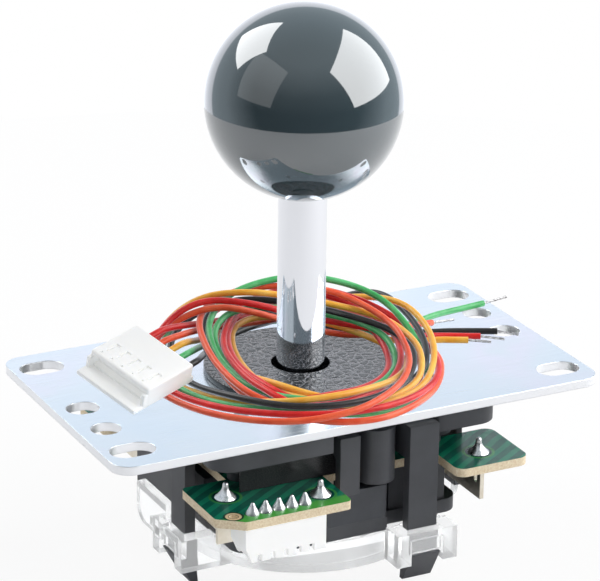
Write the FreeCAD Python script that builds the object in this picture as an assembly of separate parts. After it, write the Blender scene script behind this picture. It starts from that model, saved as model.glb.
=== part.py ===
import FreeCAD, Part
import os
from math import acos, cos, degrees, pi, radians, sin, sqrt, tan

# Arcade joystick lever. Millimetres, +Z up, X along the plate's long edge.
# The origin is the centre of the mounting plate's top face, on the lever's axis.

Vec = FreeCAD.Vector
UP = Vec(0, 0, 1)

# Gaps between neighbours
RUNNING_GAP = 0.05
FREE_GAP = 0.15
SEAT_GAP = 0.3
REST_GAP = 0.05

# Mounting plate
PLATE_LENGTH = 95.0
PLATE_WIDTH = 53.0
PLATE_THICKNESS = 1.6
PLATE_CORNER = 3.6
PLATE_BORE = 22.0
SLOT_INSET_X = 5.5
SLOT_INSET_Y = 6.5
SLOT_LENGTH = 8.2
SLOT_WIDTH = 5.6
END_SLOT_INSET = 4.9
END_SLOT_LENGTH = 6.0
END_SLOT_WIDTH = 5.2
OFFSET_SLOT_INSET = 5.0
OFFSET_SLOT_SHIFT = 9.9
OFFSET_SLOT_LENGTH = 5.4

# Plate screws, driven from below
SCREW_SPAN_X = 38.4
SCREW_SPAN_Y = 28.0
SCREW_DIAMETER = 3.2
SCREW_HEAD_DIAMETER = 6.0
SCREW_HEAD_HEIGHT = 2.2
SCREW_HEAD_DEPTH = 7.6
SCREW_DRIVE_WIDTH = 0.9
SCREW_DRIVE_DEPTH = 1.0

# Lever: ball, insert and shaft
BALL_DIAMETER = 35.0
BALL_HEIGHT = 50.3
BALL_FLAT_RADIUS = 6.2
SHAFT_DIAMETER = 8.7
LOWER_SHAFT_DIAMETER = 6.0
SHAFT_BOTTOM = -32.0
SHAFT_CHAMFER = 0.5
SHAFT_SLOT_WIDTH = 0.9
SHAFT_SLOT_DEPTH = 1.1
INSERT_RADIUS = 5.0
INSERT_LENGTH = 14.0
STUD_LENGTH = 12.0
TILT = 7.5

# Pivot and the cup that it turns in
PIVOT_DEPTH = 5.0
PIVOT_RADIUS = 8.0
PIVOT_RISE = 1.5
PIVOT_FOOT_RADIUS = 4.8
CUP_OUTER_RADIUS = 11.5
CUP_MOUTH_RADIUS = 5.4
CUP_FLOOR = -12.5

# Spring, collar, actuator and retaining ring
COLLAR_OUTER_RADIUS = 7.0
COLLAR_THICKNESS = 0.8
SPRING_RADIUS = 5.6
SPRING_WIRE = 1.1
SPRING_TURNS = 3.5
SPRING_WIRE_SIDES = 8
ACTUATOR_RADIUS = 8.5
ACTUATOR_TOP = -15.5
ACTUATOR_BOTTOM = -30.0
ACTUATOR_POCKET_RADIUS = 7.2
ACTUATOR_POCKET_FLOOR = -19.0
ACTUATOR_CHAMFER = 0.6
RETAINER_RADIUS = 4.8
RETAINER_THICKNESS = 0.7
GROOVE_RADIUS = 2.3

# Dust washer
WASHER_DIAMETER = 35.0
WASHER_THICKNESS = 1.3
WASHER_EDGE = 0.35

# Housing flange, bosses, posts and legs
FLANGE_HALF_X = 28.0
FLANGE_INSET = 2.5
FLANGE_BOTTOM = -6.0
FLANGE_CORNER = 4.0
BOSS_RADIUS = 3.9
FRONT_NOTCH = (-5.7, 15.2)
SIDE_NOTCH = (2.0, 10.8)
FRONT_LEG_ROOT = 3.4
SIDE_LEG_ROOT = 1.7
POST_SPAN = (-4.3, -0.4)
POST_BOTTOM = -14.8
POST_THICKNESS = 1.8
COLUMN_RADIUS = 3.55
COLUMN_X = 4.6
COLUMN_BOTTOM = -14.0
RIB_TOP = -3.7
SKIRT_SPAN = (-13.4, 3.0)
SKIRT_BOTTOM = -22.6
SKIRT_THICKNESS = 1.2
SKIRT_WINDOW = (-9.5, 1.0)
SKIRT_WINDOW_DEPTH = 0.5
LEG_WIDTH = 5.8
LEG_THICKNESS = 2.0
LEG_TOP = -3.6
FRONT_LEG_INSET = 1.5
SIDE_LEG_FACE = 27.3
FRONT_LEG_OFFSET = 11.9
SIDE_LEG_OFFSET = 6.4
LEG_ROOT_BOTTOM = -10.0
HOOK_TOP = -27.8
HOOK_BOTTOM = -33.7
HOOK_REACH = 1.7
HOOK_SLOPE = 1.9

# Switch board
BOARD_TOP = -12.0
BOARD_THICKNESS = 1.6
BOARD_CORE = 23.6
BOARD_BORE = 13.6
BOARD_CORNER = 2.0
FRONT_LOBE_X = (-30.3, -5.6)
FRONT_LOBE_Y = (-31.2, -14.0)
LOBE_CUT = (4.4, 3.4)
VIA_PLACE = (-27.0, -28.2)
VIA_RADIUS = 0.8
CORNER_LOBE_X = (17.2, 31.8)
CORNER_LOBE_Y = (-28.2, -14.0)
BOARD_SIDE_CUT = 21.6
BOARD_END_CUT = 19.4

# Snap switches and the holder below them
CASE_LENGTH = 19.8
CASE_DEPTH = 10.0
CASE_HEIGHT = 6.4
CASE_OVERHANG = 6.4
CASE_BOTTOM = -21.4
CASE_EDGE = 0.4
PEG_RADIUS = 1.1
PEG_POSITIONS = (-9.6, 3.4)
PEG_INSET = 3.2
PEG_HEIGHT = 5.9
PLUNGER_WIDTH = 2.2
PLUNGER_HEIGHT = 3.0
PLUNGER_TRAVEL = 0.5
PLUNGER_POCKET = 2.0
LEAF_THICKNESS = 0.3
LEAF_WIDTH = 3.4
LEAF_HINGE = -8.4
LEAF_TIP = 5.0
LEAF_STAND = 1.2
LEAF_ROOT_DEPTH = 0.9
HOLDER_HALF_X = 22.3
HOLDER_HALF_Y = 20.0
HOLDER_BOTTOM = -24.0
HOLDER_CORNER = 3.0
HOLDER_WALL = 1.6
CORNER_WALL_START = 8.0

# Switch terminals: strips of metal from each case up through the board
TERMINAL_THICKNESS = 0.8
TERMINAL_WIDTH = 3.3
TERMINAL_BOTTOM = -20.6
TERMINAL_TAB = 1.2
TAB_RADIUS = 0.8
SOLDER_RADIUS = 1.7
SOLDER_HEIGHT = 3.0
PIN_SOLDER_RADIUS = 1.15
PIN_SOLDER_HEIGHT = 2.3
SOLDER_TIP = 0.35
SOLDER_FLANK = ((0.62, 0.18), (0.42, 0.48))
FRONT_TERMINALS = ((-9.4, -26.4), (-3.0, -17.6))
RIGHT_TERMINALS = ((24.4, -22.6), (24.8, 20.5))
TERMINAL_RUN = 23.7

# Board header
WAY_COUNT = 5
WAY_PITCH = 2.5
HEADER_X = -18.5
HEADER_LENGTH = 15.4
HEADER_FRONT = -31.4
HEADER_DEPTH = 5.8
HEADER_HEIGHT = 6.2
HEADER_WALL = 0.8
HEADER_ROOF = 1.2
HEADER_SLIT = 0.9
HEADER_SLIT_HEIGHT = 1.3
PIN_SIZE = 0.64
PIN_DROP = 4.6

# Gate: clear frame, ears, wings and the turned insert
GATE_RADIUS = 23.0
GATE_BORE = 18.6
GATE_BOTTOM = -29.6
GATE_LIP = 1.4
GATE_LIP_WIDTH = 1.5
EAR_CHEEK = 2.8
EAR_REACH = 2.2
EAR_TOP = -23.2
EAR_BAR = 1.4
EAR_WEB = 1.0
EAR_BOTTOM = -29.4
CHEEK_START = 12.0
WING_TOP = -20.2
WING_SPAN = 12.6
WING_THICKNESS = 1.5
WING_CORNER = 4.5
WING_GAP = 0.35
WINDOW_CORNER = 3.0
INSERT_TOP = -24.6

# Harness connector: mouth, lip and rear, lying tipped on the coil and the plate
CONNECTOR_WIDTH = 14.2
CONNECTOR_LENGTH = 13.5
CONNECTOR_HEIGHT = 5.5
CONNECTOR_LIP = 3.2
CONNECTOR_LIP_THICKNESS = 0.9
CONNECTOR_MOUTH_DEPTH = 6.0
CONNECTOR_WALL = 1.0
CONNECTOR_EDGE = 0.8
CONNECTOR_CORNER = (-36.0, -6.9, 0.05)
CONNECTOR_TURN = (21.5, -6.8, 16.9)

# Harness wires and their coil round the shaft
WIRE_DIAMETER = 1.2
STRAND_DIAMETER = 0.5
COIL_CENTRE = (0.5, -1.0)
COIL_OUTER_X = 25.2
COIL_OUTER_Y = 26.3
COIL_INNER = 15.0
COIL_FRONT_TOP = 4.4
COIL_BACK_TOP = 8.6
COIL_LEVEL_FROM = 0.6
BEND_SHARE = 0.45

# The flange and the front legs follow the plate's long edges
FLANGE_HALF_Y = PLATE_WIDTH / 2 - FLANGE_INSET
FRONT_LEG_FACE = PLATE_WIDTH / 2 - FRONT_LEG_INSET

SIDES = ("front", "left", "back", "right")
LEG_FACE = {"front": FRONT_LEG_FACE, "left": SIDE_LEG_FACE, "back": FRONT_LEG_FACE, "right": SIDE_LEG_FACE}
LEG_OFFSET = {"front": FRONT_LEG_OFFSET, "left": SIDE_LEG_OFFSET, "back": FRONT_LEG_OFFSET, "right": SIDE_LEG_OFFSET}
LEG_ROOT = {"front": FRONT_LEG_ROOT, "left": SIDE_LEG_ROOT, "back": FRONT_LEG_ROOT, "right": SIDE_LEG_ROOT}

# Sizes that follow from the ones above
PLATE_BOTTOM = -PLATE_THICKNESS
SLOT_SPAN_X = PLATE_LENGTH - 2 * SLOT_INSET_X
SLOT_SPAN_Y = PLATE_WIDTH - 2 * SLOT_INSET_Y
END_SLOT_SPAN = PLATE_LENGTH - 2 * END_SLOT_INSET
OFFSET_SLOT_SPAN = PLATE_LENGTH - 2 * OFFSET_SLOT_INSET
SHAFT_RADIUS = SHAFT_DIAMETER / 2
LOWER_SHAFT_RADIUS = LOWER_SHAFT_DIAMETER / 2
PIVOT_TOP = -PIVOT_DEPTH + PIVOT_RISE
PIVOT_FOOT = -PIVOT_DEPTH - sqrt(PIVOT_RADIUS ** 2 - PIVOT_FOOT_RADIUS ** 2)
BALL_FLAT = BALL_HEIGHT - sqrt((BALL_DIAMETER / 2) ** 2 - BALL_FLAT_RADIUS ** 2)
BOARD_BOTTOM = BOARD_TOP - BOARD_THICKNESS
CASE_TOP = CASE_BOTTOM + CASE_HEIGHT
CASE_MIDDLE = CASE_BOTTOM + CASE_HEIGHT / 2
RETAINER_TOP = ACTUATOR_BOTTOM
COLLAR_BOTTOM = CUP_FLOOR - COLLAR_THICKNESS


def lean(depth):
    """Sideways shift of the lever's axis at a height depth below the pivot, with both tilts at their limit."""
    return abs(depth) * tan(radians(TILT)) * sqrt(2)


def reach(radius, z):
    """Half width that a square window needs at height z for a round of this radius on the tilted lever."""
    below = -PIVOT_DEPTH - z
    return radius * cos(radians(TILT)) + below * sin(radians(TILT))


WASHER_BORE_RADIUS = SHAFT_RADIUS + lean(WASHER_THICKNESS + PIVOT_DEPTH) + FREE_GAP / 2
COLLAR_INNER_RADIUS = LOWER_SHAFT_RADIUS + lean(COLLAR_BOTTOM + PIVOT_DEPTH) + FREE_GAP
LEAF_FACE = reach(ACTUATOR_RADIUS, CASE_MIDDLE - LEAF_WIDTH / 2) + FREE_GAP
CASE_INNER = LEAF_FACE + LEAF_THICKNESS + LEAF_STAND
CASE_OUTER = CASE_INNER + CASE_DEPTH
HOLDER_WINDOW = reach(ACTUATOR_RADIUS, HOLDER_BOTTOM) + SEAT_GAP
GATE_WINDOW = reach(ACTUATOR_RADIUS, ACTUATOR_BOTTOM) + FREE_GAP


# Helpers

def block(x, y, z):
    return Part.makeBox(x[1] - x[0], y[1] - y[0], z[1] - z[0], Vec(x[0], y[0], z[0]))


def disc(radius, low, high, x=0.0, y=0.0):
    return Part.makeCylinder(radius, high - low, Vec(x, y, low))


def upright_edges(shape):
    return [e for e in shape.Edges if abs(e.BoundBox.ZLength) > 0.5 and e.BoundBox.XLength < 1e-6
            and e.BoundBox.YLength < 1e-6]


def rounded(x, y, z, radius):
    plain = block(x, y, z)
    return plain.makeFillet(radius, upright_edges(plain))


def prism(points, low, high):
    corners = [Vec(x, y, low) for x, y in points]
    return Part.Face(Part.makePolygon(corners + corners[:1])).extrude(Vec(0, 0, high - low))


def slot(length, width, x, y, low, high):
    half = (length - width) / 2
    middle = block((x - half, x + half), (y - width / 2, y + width / 2), (low, high))
    ends = [disc(width / 2, low, high, x + side * half, y) for side in (-1, 1)]
    return middle.fuse(ends).removeSplitter()


def turned(profile):
    """Solid of revolution about Z from a list of (radius, height) corners."""
    corners = [Vec(r, 0, z) for r, z in profile]
    face = Part.Face(Part.makePolygon(corners + corners[:1]))
    return face.revolve(Vec(0, 0, 0), UP, 360)


def side_turn(shape, side):
    """Move a shape made for the front to another side, clockwise seen from above."""
    copy = shape.copy()
    copy.rotate(Vec(0, 0, 0), UP, -90 * SIDES.index(side))
    return copy


def half_turn(shape):
    return side_turn(shape, "back")


def side_profile(corners, start, end):
    """Solid from (reach from the axis, height) corners, pushed along X, for the front side."""
    points = [Vec(start, -r, z) for r, z in corners]
    face = Part.Face(Part.makePolygon(points + points[:1]))
    return face.extrude(Vec(end - start, 0, 0))


def screw_places():
    return [(sx * SCREW_SPAN_X / 2, sy * SCREW_SPAN_Y / 2) for sx in (-1, 1) for sy in (-1, 1)]


def case_bounds():
    along = (CASE_OVERHANG - CASE_LENGTH, CASE_OVERHANG)
    return along, (-CASE_OUTER, -CASE_INNER), (CASE_BOTTOM, CASE_TOP)


# Lever parts

def make_ball_top():
    ball = Part.makeSphere(BALL_DIAMETER / 2, Vec(0, 0, BALL_HEIGHT))
    ball = ball.cut(disc(BALL_DIAMETER, BALL_HEIGHT - BALL_DIAMETER, BALL_FLAT))
    return ball.cut(disc(INSERT_RADIUS, BALL_FLAT - 1, BALL_FLAT + INSERT_LENGTH))


def make_ball_insert():
    body = disc(INSERT_RADIUS, BALL_FLAT, BALL_FLAT + INSERT_LENGTH)
    waist = turned([(INSERT_RADIUS - 0.6, BALL_FLAT + 5), (INSERT_RADIUS + 1, BALL_FLAT + 5),
                    (INSERT_RADIUS + 1, BALL_FLAT + 8), (INSERT_RADIUS - 0.6, BALL_FLAT + 8)])
    return body.cut(waist).cut(disc(LOWER_SHAFT_RADIUS, BALL_FLAT - 1, BALL_FLAT + INSERT_LENGTH - 1))


def make_shaft():
    groove_top = RETAINER_TOP
    groove_bottom = RETAINER_TOP - RETAINER_THICKNESS - RUNNING_GAP
    stud_radius = LOWER_SHAFT_RADIUS - RUNNING_GAP
    stud_top = BALL_FLAT + STUD_LENGTH
    shaft = turned([
        (0, SHAFT_BOTTOM), (LOWER_SHAFT_RADIUS - SHAFT_CHAMFER, SHAFT_BOTTOM),
        (LOWER_SHAFT_RADIUS, SHAFT_BOTTOM + SHAFT_CHAMFER), (LOWER_SHAFT_RADIUS, groove_bottom),
        (GROOVE_RADIUS, groove_bottom), (GROOVE_RADIUS, groove_top),
        (LOWER_SHAFT_RADIUS, groove_top), (LOWER_SHAFT_RADIUS, PIVOT_TOP),
        (SHAFT_RADIUS, PIVOT_TOP), (SHAFT_RADIUS, BALL_FLAT),
        (stud_radius, BALL_FLAT), (stud_radius, stud_top - SHAFT_CHAMFER),
        (stud_radius - SHAFT_CHAMFER, stud_top), (0, stud_top)])
    half = SHAFT_SLOT_WIDTH / 2
    drive = block((-SHAFT_RADIUS, SHAFT_RADIUS), (-half, half), (SHAFT_BOTTOM - 1, SHAFT_BOTTOM + SHAFT_SLOT_DEPTH))
    return shaft.cut(drive)


def make_pivot_ball():
    ball = Part.makeSphere(PIVOT_RADIUS, Vec(0, 0, -PIVOT_DEPTH))
    band = disc(PIVOT_RADIUS + 1, PIVOT_FOOT, PIVOT_TOP)
    return ball.common(band).cut(disc(LOWER_SHAFT_RADIUS + RUNNING_GAP, PIVOT_FOOT - 1, PIVOT_TOP + 1))


def make_actuator():
    bore = LOWER_SHAFT_RADIUS + RUNNING_GAP
    return turned([
        (bore, ACTUATOR_BOTTOM), (ACTUATOR_RADIUS - ACTUATOR_CHAMFER, ACTUATOR_BOTTOM),
        (ACTUATOR_RADIUS, ACTUATOR_BOTTOM + ACTUATOR_CHAMFER), (ACTUATOR_RADIUS, ACTUATOR_TOP),
        (ACTUATOR_POCKET_RADIUS, ACTUATOR_TOP), (ACTUATOR_POCKET_RADIUS, ACTUATOR_POCKET_FLOOR),
        (bore, ACTUATOR_POCKET_FLOOR)])


def make_retaining_ring():
    low = RETAINER_TOP - RETAINER_THICKNESS
    ring = disc(RETAINER_RADIUS, low, RETAINER_TOP).cut(disc(GROOVE_RADIUS + RUNNING_GAP, low - 1, RETAINER_TOP + 1))
    mouth = block((0, RETAINER_RADIUS + 1), (-GROOVE_RADIUS + 0.5, GROOVE_RADIUS - 0.5), (low - 1, RETAINER_TOP + 1))
    return ring.cut(mouth)


def make_collar():
    return turned([(COLLAR_INNER_RADIUS, COLLAR_BOTTOM), (COLLAR_OUTER_RADIUS, COLLAR_BOTTOM),
                   (COLLAR_OUTER_RADIUS, CUP_FLOOR), (COLLAR_INNER_RADIUS, CUP_FLOOR)])


def make_spring():
    wire = SPRING_WIRE / 2
    low = ACTUATOR_POCKET_FLOOR + wire
    high = COLLAR_BOTTOM - wire
    pitch = (high - low) / SPRING_TURNS
    helix = Part.makeHelix(pitch, high - low, SPRING_RADIUS)
    helix.translate(Vec(0, 0, low))
    turns = [2 * pi * i / SPRING_WIRE_SIDES for i in range(SPRING_WIRE_SIDES)]
    corners = [Vec(SPRING_RADIUS + wire * cos(turn), 0, low + wire * sin(turn)) for turn in turns]
    section = Part.Wire(Part.makePolygon(corners + corners[:1]))
    return Part.Wire(helix).makePipeShell([section], True, True)


# Plate, washer and screws

def make_plate():
    low, high = PLATE_BOTTOM, 0.0
    plate = rounded((-PLATE_LENGTH / 2, PLATE_LENGTH / 2), (-PLATE_WIDTH / 2, PLATE_WIDTH / 2), (low, high),
                    PLATE_CORNER)
    holes = [disc(PLATE_BORE / 2, low - 1, high + 1)]
    for side_x in (-1, 1):
        for side_y in (-1, 1):
            holes.append(slot(SLOT_LENGTH, SLOT_WIDTH, side_x * SLOT_SPAN_X / 2, side_y * SLOT_SPAN_Y / 2,
                              low - 1, high + 1))
        holes.append(slot(END_SLOT_LENGTH, END_SLOT_WIDTH, side_x * END_SLOT_SPAN / 2, 0, low - 1, high + 1))
        holes.append(slot(OFFSET_SLOT_LENGTH, END_SLOT_WIDTH, side_x * OFFSET_SLOT_SPAN / 2,
                          side_x * OFFSET_SLOT_SHIFT, low - 1, high + 1))
    for x, y in screw_places():
        holes.append(disc(SCREW_DIAMETER / 2 + RUNNING_GAP, low - 1, high + 1, x, y))
    return plate.cut(holes)


def make_washer():
    edge = WASHER_EDGE
    outer = WASHER_DIAMETER / 2
    return turned([(WASHER_BORE_RADIUS, 0), (outer, 0), (outer, WASHER_THICKNESS - edge),
                   (outer - edge, WASHER_THICKNESS), (WASHER_BORE_RADIUS + edge, WASHER_THICKNESS),
                   (WASHER_BORE_RADIUS, WASHER_THICKNESS - edge)])


def make_screws():
    screws = []
    head_top = -SCREW_HEAD_DEPTH
    head_bottom = head_top - SCREW_HEAD_HEIGHT
    for x, y in screw_places():
        screw = disc(SCREW_DIAMETER / 2, head_top, -SEAT_GAP, x, y)
        screw = screw.fuse(disc(SCREW_HEAD_DIAMETER / 2, head_bottom, head_top, x, y))
        for across in (SCREW_DRIVE_WIDTH / 2, SCREW_HEAD_DIAMETER / 3):
            along = SCREW_DRIVE_WIDTH / 2 + SCREW_HEAD_DIAMETER / 3 - across
            screw = screw.cut(block((x - across, x + across), (y - along, y + along),
                                    (head_bottom - 1, head_bottom + SCREW_DRIVE_DEPTH)))
        screws.append(screw.removeSplitter())
    return Part.makeCompound(screws)


# Housing

def notch_wall(side):
    """Distance from the axis to the back of the notch that the leg stands in."""
    return LEG_FACE[side] - LEG_THICKNESS - LEG_ROOT[side]


def make_leg(side):
    face = LEG_FACE[side]
    back = face - LEG_THICKNESS
    middle = LEG_OFFSET[side]
    leg = side_profile([
        (face, LEG_TOP), (face, HOOK_TOP), (face + HOOK_REACH, HOOK_TOP),
        (face - HOOK_SLOPE + 0.3, HOOK_BOTTOM), (back - 0.6, HOOK_BOTTOM), (back, HOOK_TOP), (back, LEG_TOP)],
        middle - LEG_WIDTH / 2, middle + LEG_WIDTH / 2)
    root = block((middle - LEG_WIDTH / 2, middle + LEG_WIDTH / 2), (-back - 0.5, 1 - notch_wall(side)),
                 (LEG_ROOT_BOTTOM, LEG_TOP))
    return side_turn(leg.fuse(root), side)


def make_front_ribs():
    """Post and round column in the notch beside the leg, open at the top."""
    wall = notch_wall("front")
    face = FLANGE_HALF_Y
    back = face - POST_THICKNESS
    post = side_profile([(wall - 1, RIB_TOP), (face, RIB_TOP), (face, POST_BOTTOM), (back, POST_BOTTOM),
                         (back, FLANGE_BOTTOM - 2), (wall - 1, FLANGE_BOTTOM)], POST_SPAN[0], POST_SPAN[1])
    column = disc(COLUMN_RADIUS, COLUMN_BOTTOM, RIB_TOP, COLUMN_X, -(wall + 0.6))
    board_room = block((COLUMN_X - 2 * COLUMN_RADIUS, COLUMN_X + 2 * COLUMN_RADIUS),
                       (-BOARD_END_CUT - FREE_GAP, 0), (COLUMN_BOTTOM - 1, BOARD_TOP))
    return post.fuse(column.cut(board_room))


def make_skirt():
    """Outer wall beside the left leg, with a shallow window on its face."""
    outer = SIDE_LEG_FACE - 1.0
    inner = outer - SKIRT_THICKNESS
    wall = side_profile([(outer, FLANGE_BOTTOM + 1), (outer, SKIRT_BOTTOM), (inner, SKIRT_BOTTOM),
                         (inner, FLANGE_BOTTOM + 1)], SKIRT_SPAN[0], SKIRT_SPAN[1])
    window = block(SKIRT_WINDOW, (-outer - 1, -outer + SKIRT_WINDOW_DEPTH), (SKIRT_BOTTOM + 9, FLANGE_BOTTOM - 1.5))
    return side_turn(wall.cut(window), "left")


def make_housing():
    top = PLATE_BOTTOM
    flange = rounded((-FLANGE_HALF_X, FLANGE_HALF_X), (-FLANGE_HALF_Y, FLANGE_HALF_Y), (FLANGE_BOTTOM, top),
                     FLANGE_CORNER)
    upright = (FLANGE_BOTTOM - 1, top + 1)
    front_notch = block(FRONT_NOTCH, (-FLANGE_HALF_Y - 1, -notch_wall("front")), upright)
    side_notch = side_turn(block(SIDE_NOTCH, (-FLANGE_HALF_X - 1, -notch_wall("left")), upright), "left")
    notches = [front_notch, side_notch, half_turn(front_notch), half_turn(side_notch)]
    ribs = make_front_ribs()
    skirt = make_skirt()
    additions = [disc(CUP_OUTER_RADIUS, CUP_FLOOR, FLANGE_BOTTOM), ribs, half_turn(ribs), skirt, half_turn(skirt)]
    additions += [make_leg(side) for side in SIDES]
    additions += [disc(BOSS_RADIUS, BOARD_TOP, FLANGE_BOTTOM, x, y) for x, y in screw_places()]
    body = flange.cut(notches).fuse(additions).removeSplitter()
    socket = Part.makeSphere(PIVOT_RADIUS + FREE_GAP, Vec(0, 0, -PIVOT_DEPTH))
    cavities = [socket, disc(PIVOT_RADIUS + FREE_GAP, -PIVOT_DEPTH, top + 1),
                disc(CUP_MOUTH_RADIUS, CUP_FLOOR - 1, -PIVOT_DEPTH)]
    for x, y in screw_places():
        cavities.append(disc(SCREW_DIAMETER / 2 + FREE_GAP, -SCREW_HEAD_DEPTH, top + 1, x, y))
        cavities.append(disc(SCREW_HEAD_DIAMETER / 2 + FREE_GAP, BOARD_TOP - 1, -SCREW_HEAD_DEPTH, x, y))
    return body.cut(cavities)


# Switch board, header and joints

def terminal_places():
    """Where the eight switch terminals come up through the board, by side."""
    places = {"front": FRONT_TERMINALS, "right": RIGHT_TERMINALS}
    places["back"] = tuple((-x, -y) for x, y in FRONT_TERMINALS)
    places["left"] = tuple((-x, -y) for x, y in RIGHT_TERMINALS)
    return places


def pin_places():
    first = HEADER_X - WAY_PITCH * (WAY_COUNT - 1) / 2
    return [(first + WAY_PITCH * i, HEADER_FRONT + HEADER_DEPTH / 2) for i in range(WAY_COUNT)]


def make_board():
    low, high = BOARD_BOTTOM, BOARD_TOP
    core = block((-BOARD_CORE, BOARD_CORE), (-BOARD_CORE, BOARD_CORE), (low, high))
    left, right = FRONT_LOBE_X
    near, far = FRONT_LOBE_Y
    front_lobe = prism([(left, far), (left, near + LOBE_CUT[1]), (left + LOBE_CUT[0], near), (right, near),
                        (right, far)], low, high)
    corner = rounded(CORNER_LOBE_X, CORNER_LOBE_Y, (low, high), BOARD_CORNER)
    mirrored = corner.mirror(Vec(0, 0, 0), Vec(1, 0, 0))
    lobes = [front_lobe.makeFillet(BOARD_CORNER / 2, upright_edges(front_lobe)), corner, half_turn(corner),
             half_turn(mirrored)]
    low, high = low - 1, high + 1
    front_cut = block((FRONT_LOBE_X[1], CORNER_LOBE_X[0]), (-BOARD_CORE - 1, -BOARD_END_CUT), (low, high))
    side_cut = block((-BOARD_CORE - 1, -BOARD_SIDE_CUT), (CORNER_LOBE_Y[1], -CORNER_LOBE_Y[1]), (low, high))
    cuts = [disc(BOARD_BORE, low, high), front_cut, half_turn(front_cut), side_cut, half_turn(side_cut),
            disc(VIA_RADIUS, low, high, *VIA_PLACE)]
    for places in terminal_places().values():
        cuts += [disc(TAB_RADIUS, low, high, x, y) for x, y in places]
    cuts += [disc(PIN_SIZE, low, high, x, y) for x, y in pin_places()]
    return core.fuse(lobes).cut(cuts).removeSplitter()


def make_header():
    x = (HEADER_X - HEADER_LENGTH / 2, HEADER_X + HEADER_LENGTH / 2)
    y = (HEADER_FRONT, HEADER_FRONT + HEADER_DEPTH)
    z = (BOARD_BOTTOM - HEADER_HEIGHT, BOARD_BOTTOM)
    wall = HEADER_WALL
    shell = block(x, y, z)
    cuts = [block((x[0] + wall, x[1] - wall), (y[0] + wall, y[1] - wall), (z[0] - 1, z[1] - HEADER_ROOF))]
    for place, _ in pin_places():
        cuts.append(block((place - HEADER_SLIT / 2, place + HEADER_SLIT / 2), (y[0] - 1, y[0] + wall + 0.5),
                          (z[0] - 1, z[0] + HEADER_SLIT_HEIGHT)))
    cuts += [disc(PIN_SIZE * 0.75, z[0], z[1] + 1, px, py) for px, py in pin_places()]
    slope = Part.Face(Part.makePolygon([Vec(x[0] - 1, y[0] - 1, z[0] - 1), Vec(x[0] + 1.6, y[0] - 1, z[0] - 1),
                                        Vec(x[0] - 1, y[0] - 1, z[1] - 1), Vec(x[0] - 1, y[0] - 1, z[0] - 1)]))
    cuts.append(slope.extrude(Vec(0, HEADER_DEPTH + 2, 0)))
    return shell.cut(cuts)


def make_header_pins():
    half = PIN_SIZE / 2
    low = BOARD_BOTTOM - HEADER_ROOF - PIN_DROP
    return Part.makeCompound([block((x - half, x + half), (y - half, y + half), (low, BOARD_TOP))
                              for x, y in pin_places()])


def solder_cone(x, y, radius, height):
    """Joint with a hollow flank, like a drop drawn up along the pin."""
    base, tip = BOARD_TOP, BOARD_TOP + height
    flank = [(radius * wide, base + height * high) for wide, high in SOLDER_FLANK]
    cone = turned([(0, base), (radius, base), *flank, (SOLDER_TIP, tip), (0, tip)])
    cone.translate(Vec(x, y, 0))
    return cone


def make_solder():
    cones = []
    for places in terminal_places().values():
        cones += [solder_cone(x, y, SOLDER_RADIUS, SOLDER_HEIGHT) for x, y in places]
    cones += [solder_cone(x, y, PIN_SOLDER_RADIUS, PIN_SOLDER_HEIGHT) for x, y in pin_places()]
    return Part.makeCompound(cones)


# Snap switches and their holder, each made for the front

def make_case(side):
    x, y, z = case_bounds()
    case = block(x, y, z)
    case = case.makeChamfer(CASE_EDGE, upright_edges(case))
    pocket_x = PLUNGER_WIDTH / 2 + FREE_GAP
    pocket_z = PLUNGER_HEIGHT / 2 + FREE_GAP
    cuts = [block((-pocket_x, pocket_x), (-CASE_INNER - PLUNGER_POCKET, -CASE_INNER + 1),
                  (CASE_MIDDLE - pocket_z, CASE_MIDDLE + pocket_z))]
    root_gap = 2 * FREE_GAP
    root_z = LEAF_WIDTH / 2 + FREE_GAP
    cuts.append(block((LEAF_HINGE - LEAF_THICKNESS - root_gap, LEAF_HINGE + root_gap),
                      (-CASE_INNER - LEAF_ROOT_DEPTH - root_gap, -CASE_INNER + 1),
                      (CASE_MIDDLE - root_z, CASE_MIDDLE + root_z)))
    for place in PEG_POSITIONS:
        cuts.append(disc(PEG_RADIUS + RUNNING_GAP, CASE_BOTTOM - 1, CASE_TOP + 1, place, -CASE_OUTER + PEG_INSET))
    return side_turn(case.cut(cuts), side)


def make_plunger(side):
    tip = LEAF_FACE + LEAF_THICKNESS + FREE_GAP
    back = CASE_INNER + PLUNGER_POCKET - PLUNGER_TRAVEL - FREE_GAP
    plunger = block((-PLUNGER_WIDTH / 2, PLUNGER_WIDTH / 2), (-back, -tip),
                    (CASE_MIDDLE - PLUNGER_HEIGHT / 2, CASE_MIDDLE + PLUNGER_HEIGHT / 2))
    nose = [e for e in plunger.Edges if abs(e.BoundBox.YMin + tip) < 1e-6 and abs(e.BoundBox.YMax + tip) < 1e-6
            and e.BoundBox.ZLength > 1]
    return side_turn(plunger.makeFillet(PLUNGER_WIDTH / 4, nose), side)


def make_leaf(side):
    z = (CASE_MIDDLE - LEAF_WIDTH / 2, CASE_MIDDLE + LEAF_WIDTH / 2)
    blade = block((LEAF_HINGE, LEAF_TIP), (-LEAF_FACE - LEAF_THICKNESS, -LEAF_FACE), z)
    root = block((LEAF_HINGE - LEAF_THICKNESS, LEAF_HINGE), (-CASE_INNER - LEAF_ROOT_DEPTH, -LEAF_FACE), z)
    return side_turn(blade.fuse(root).removeSplitter(), side)


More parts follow.
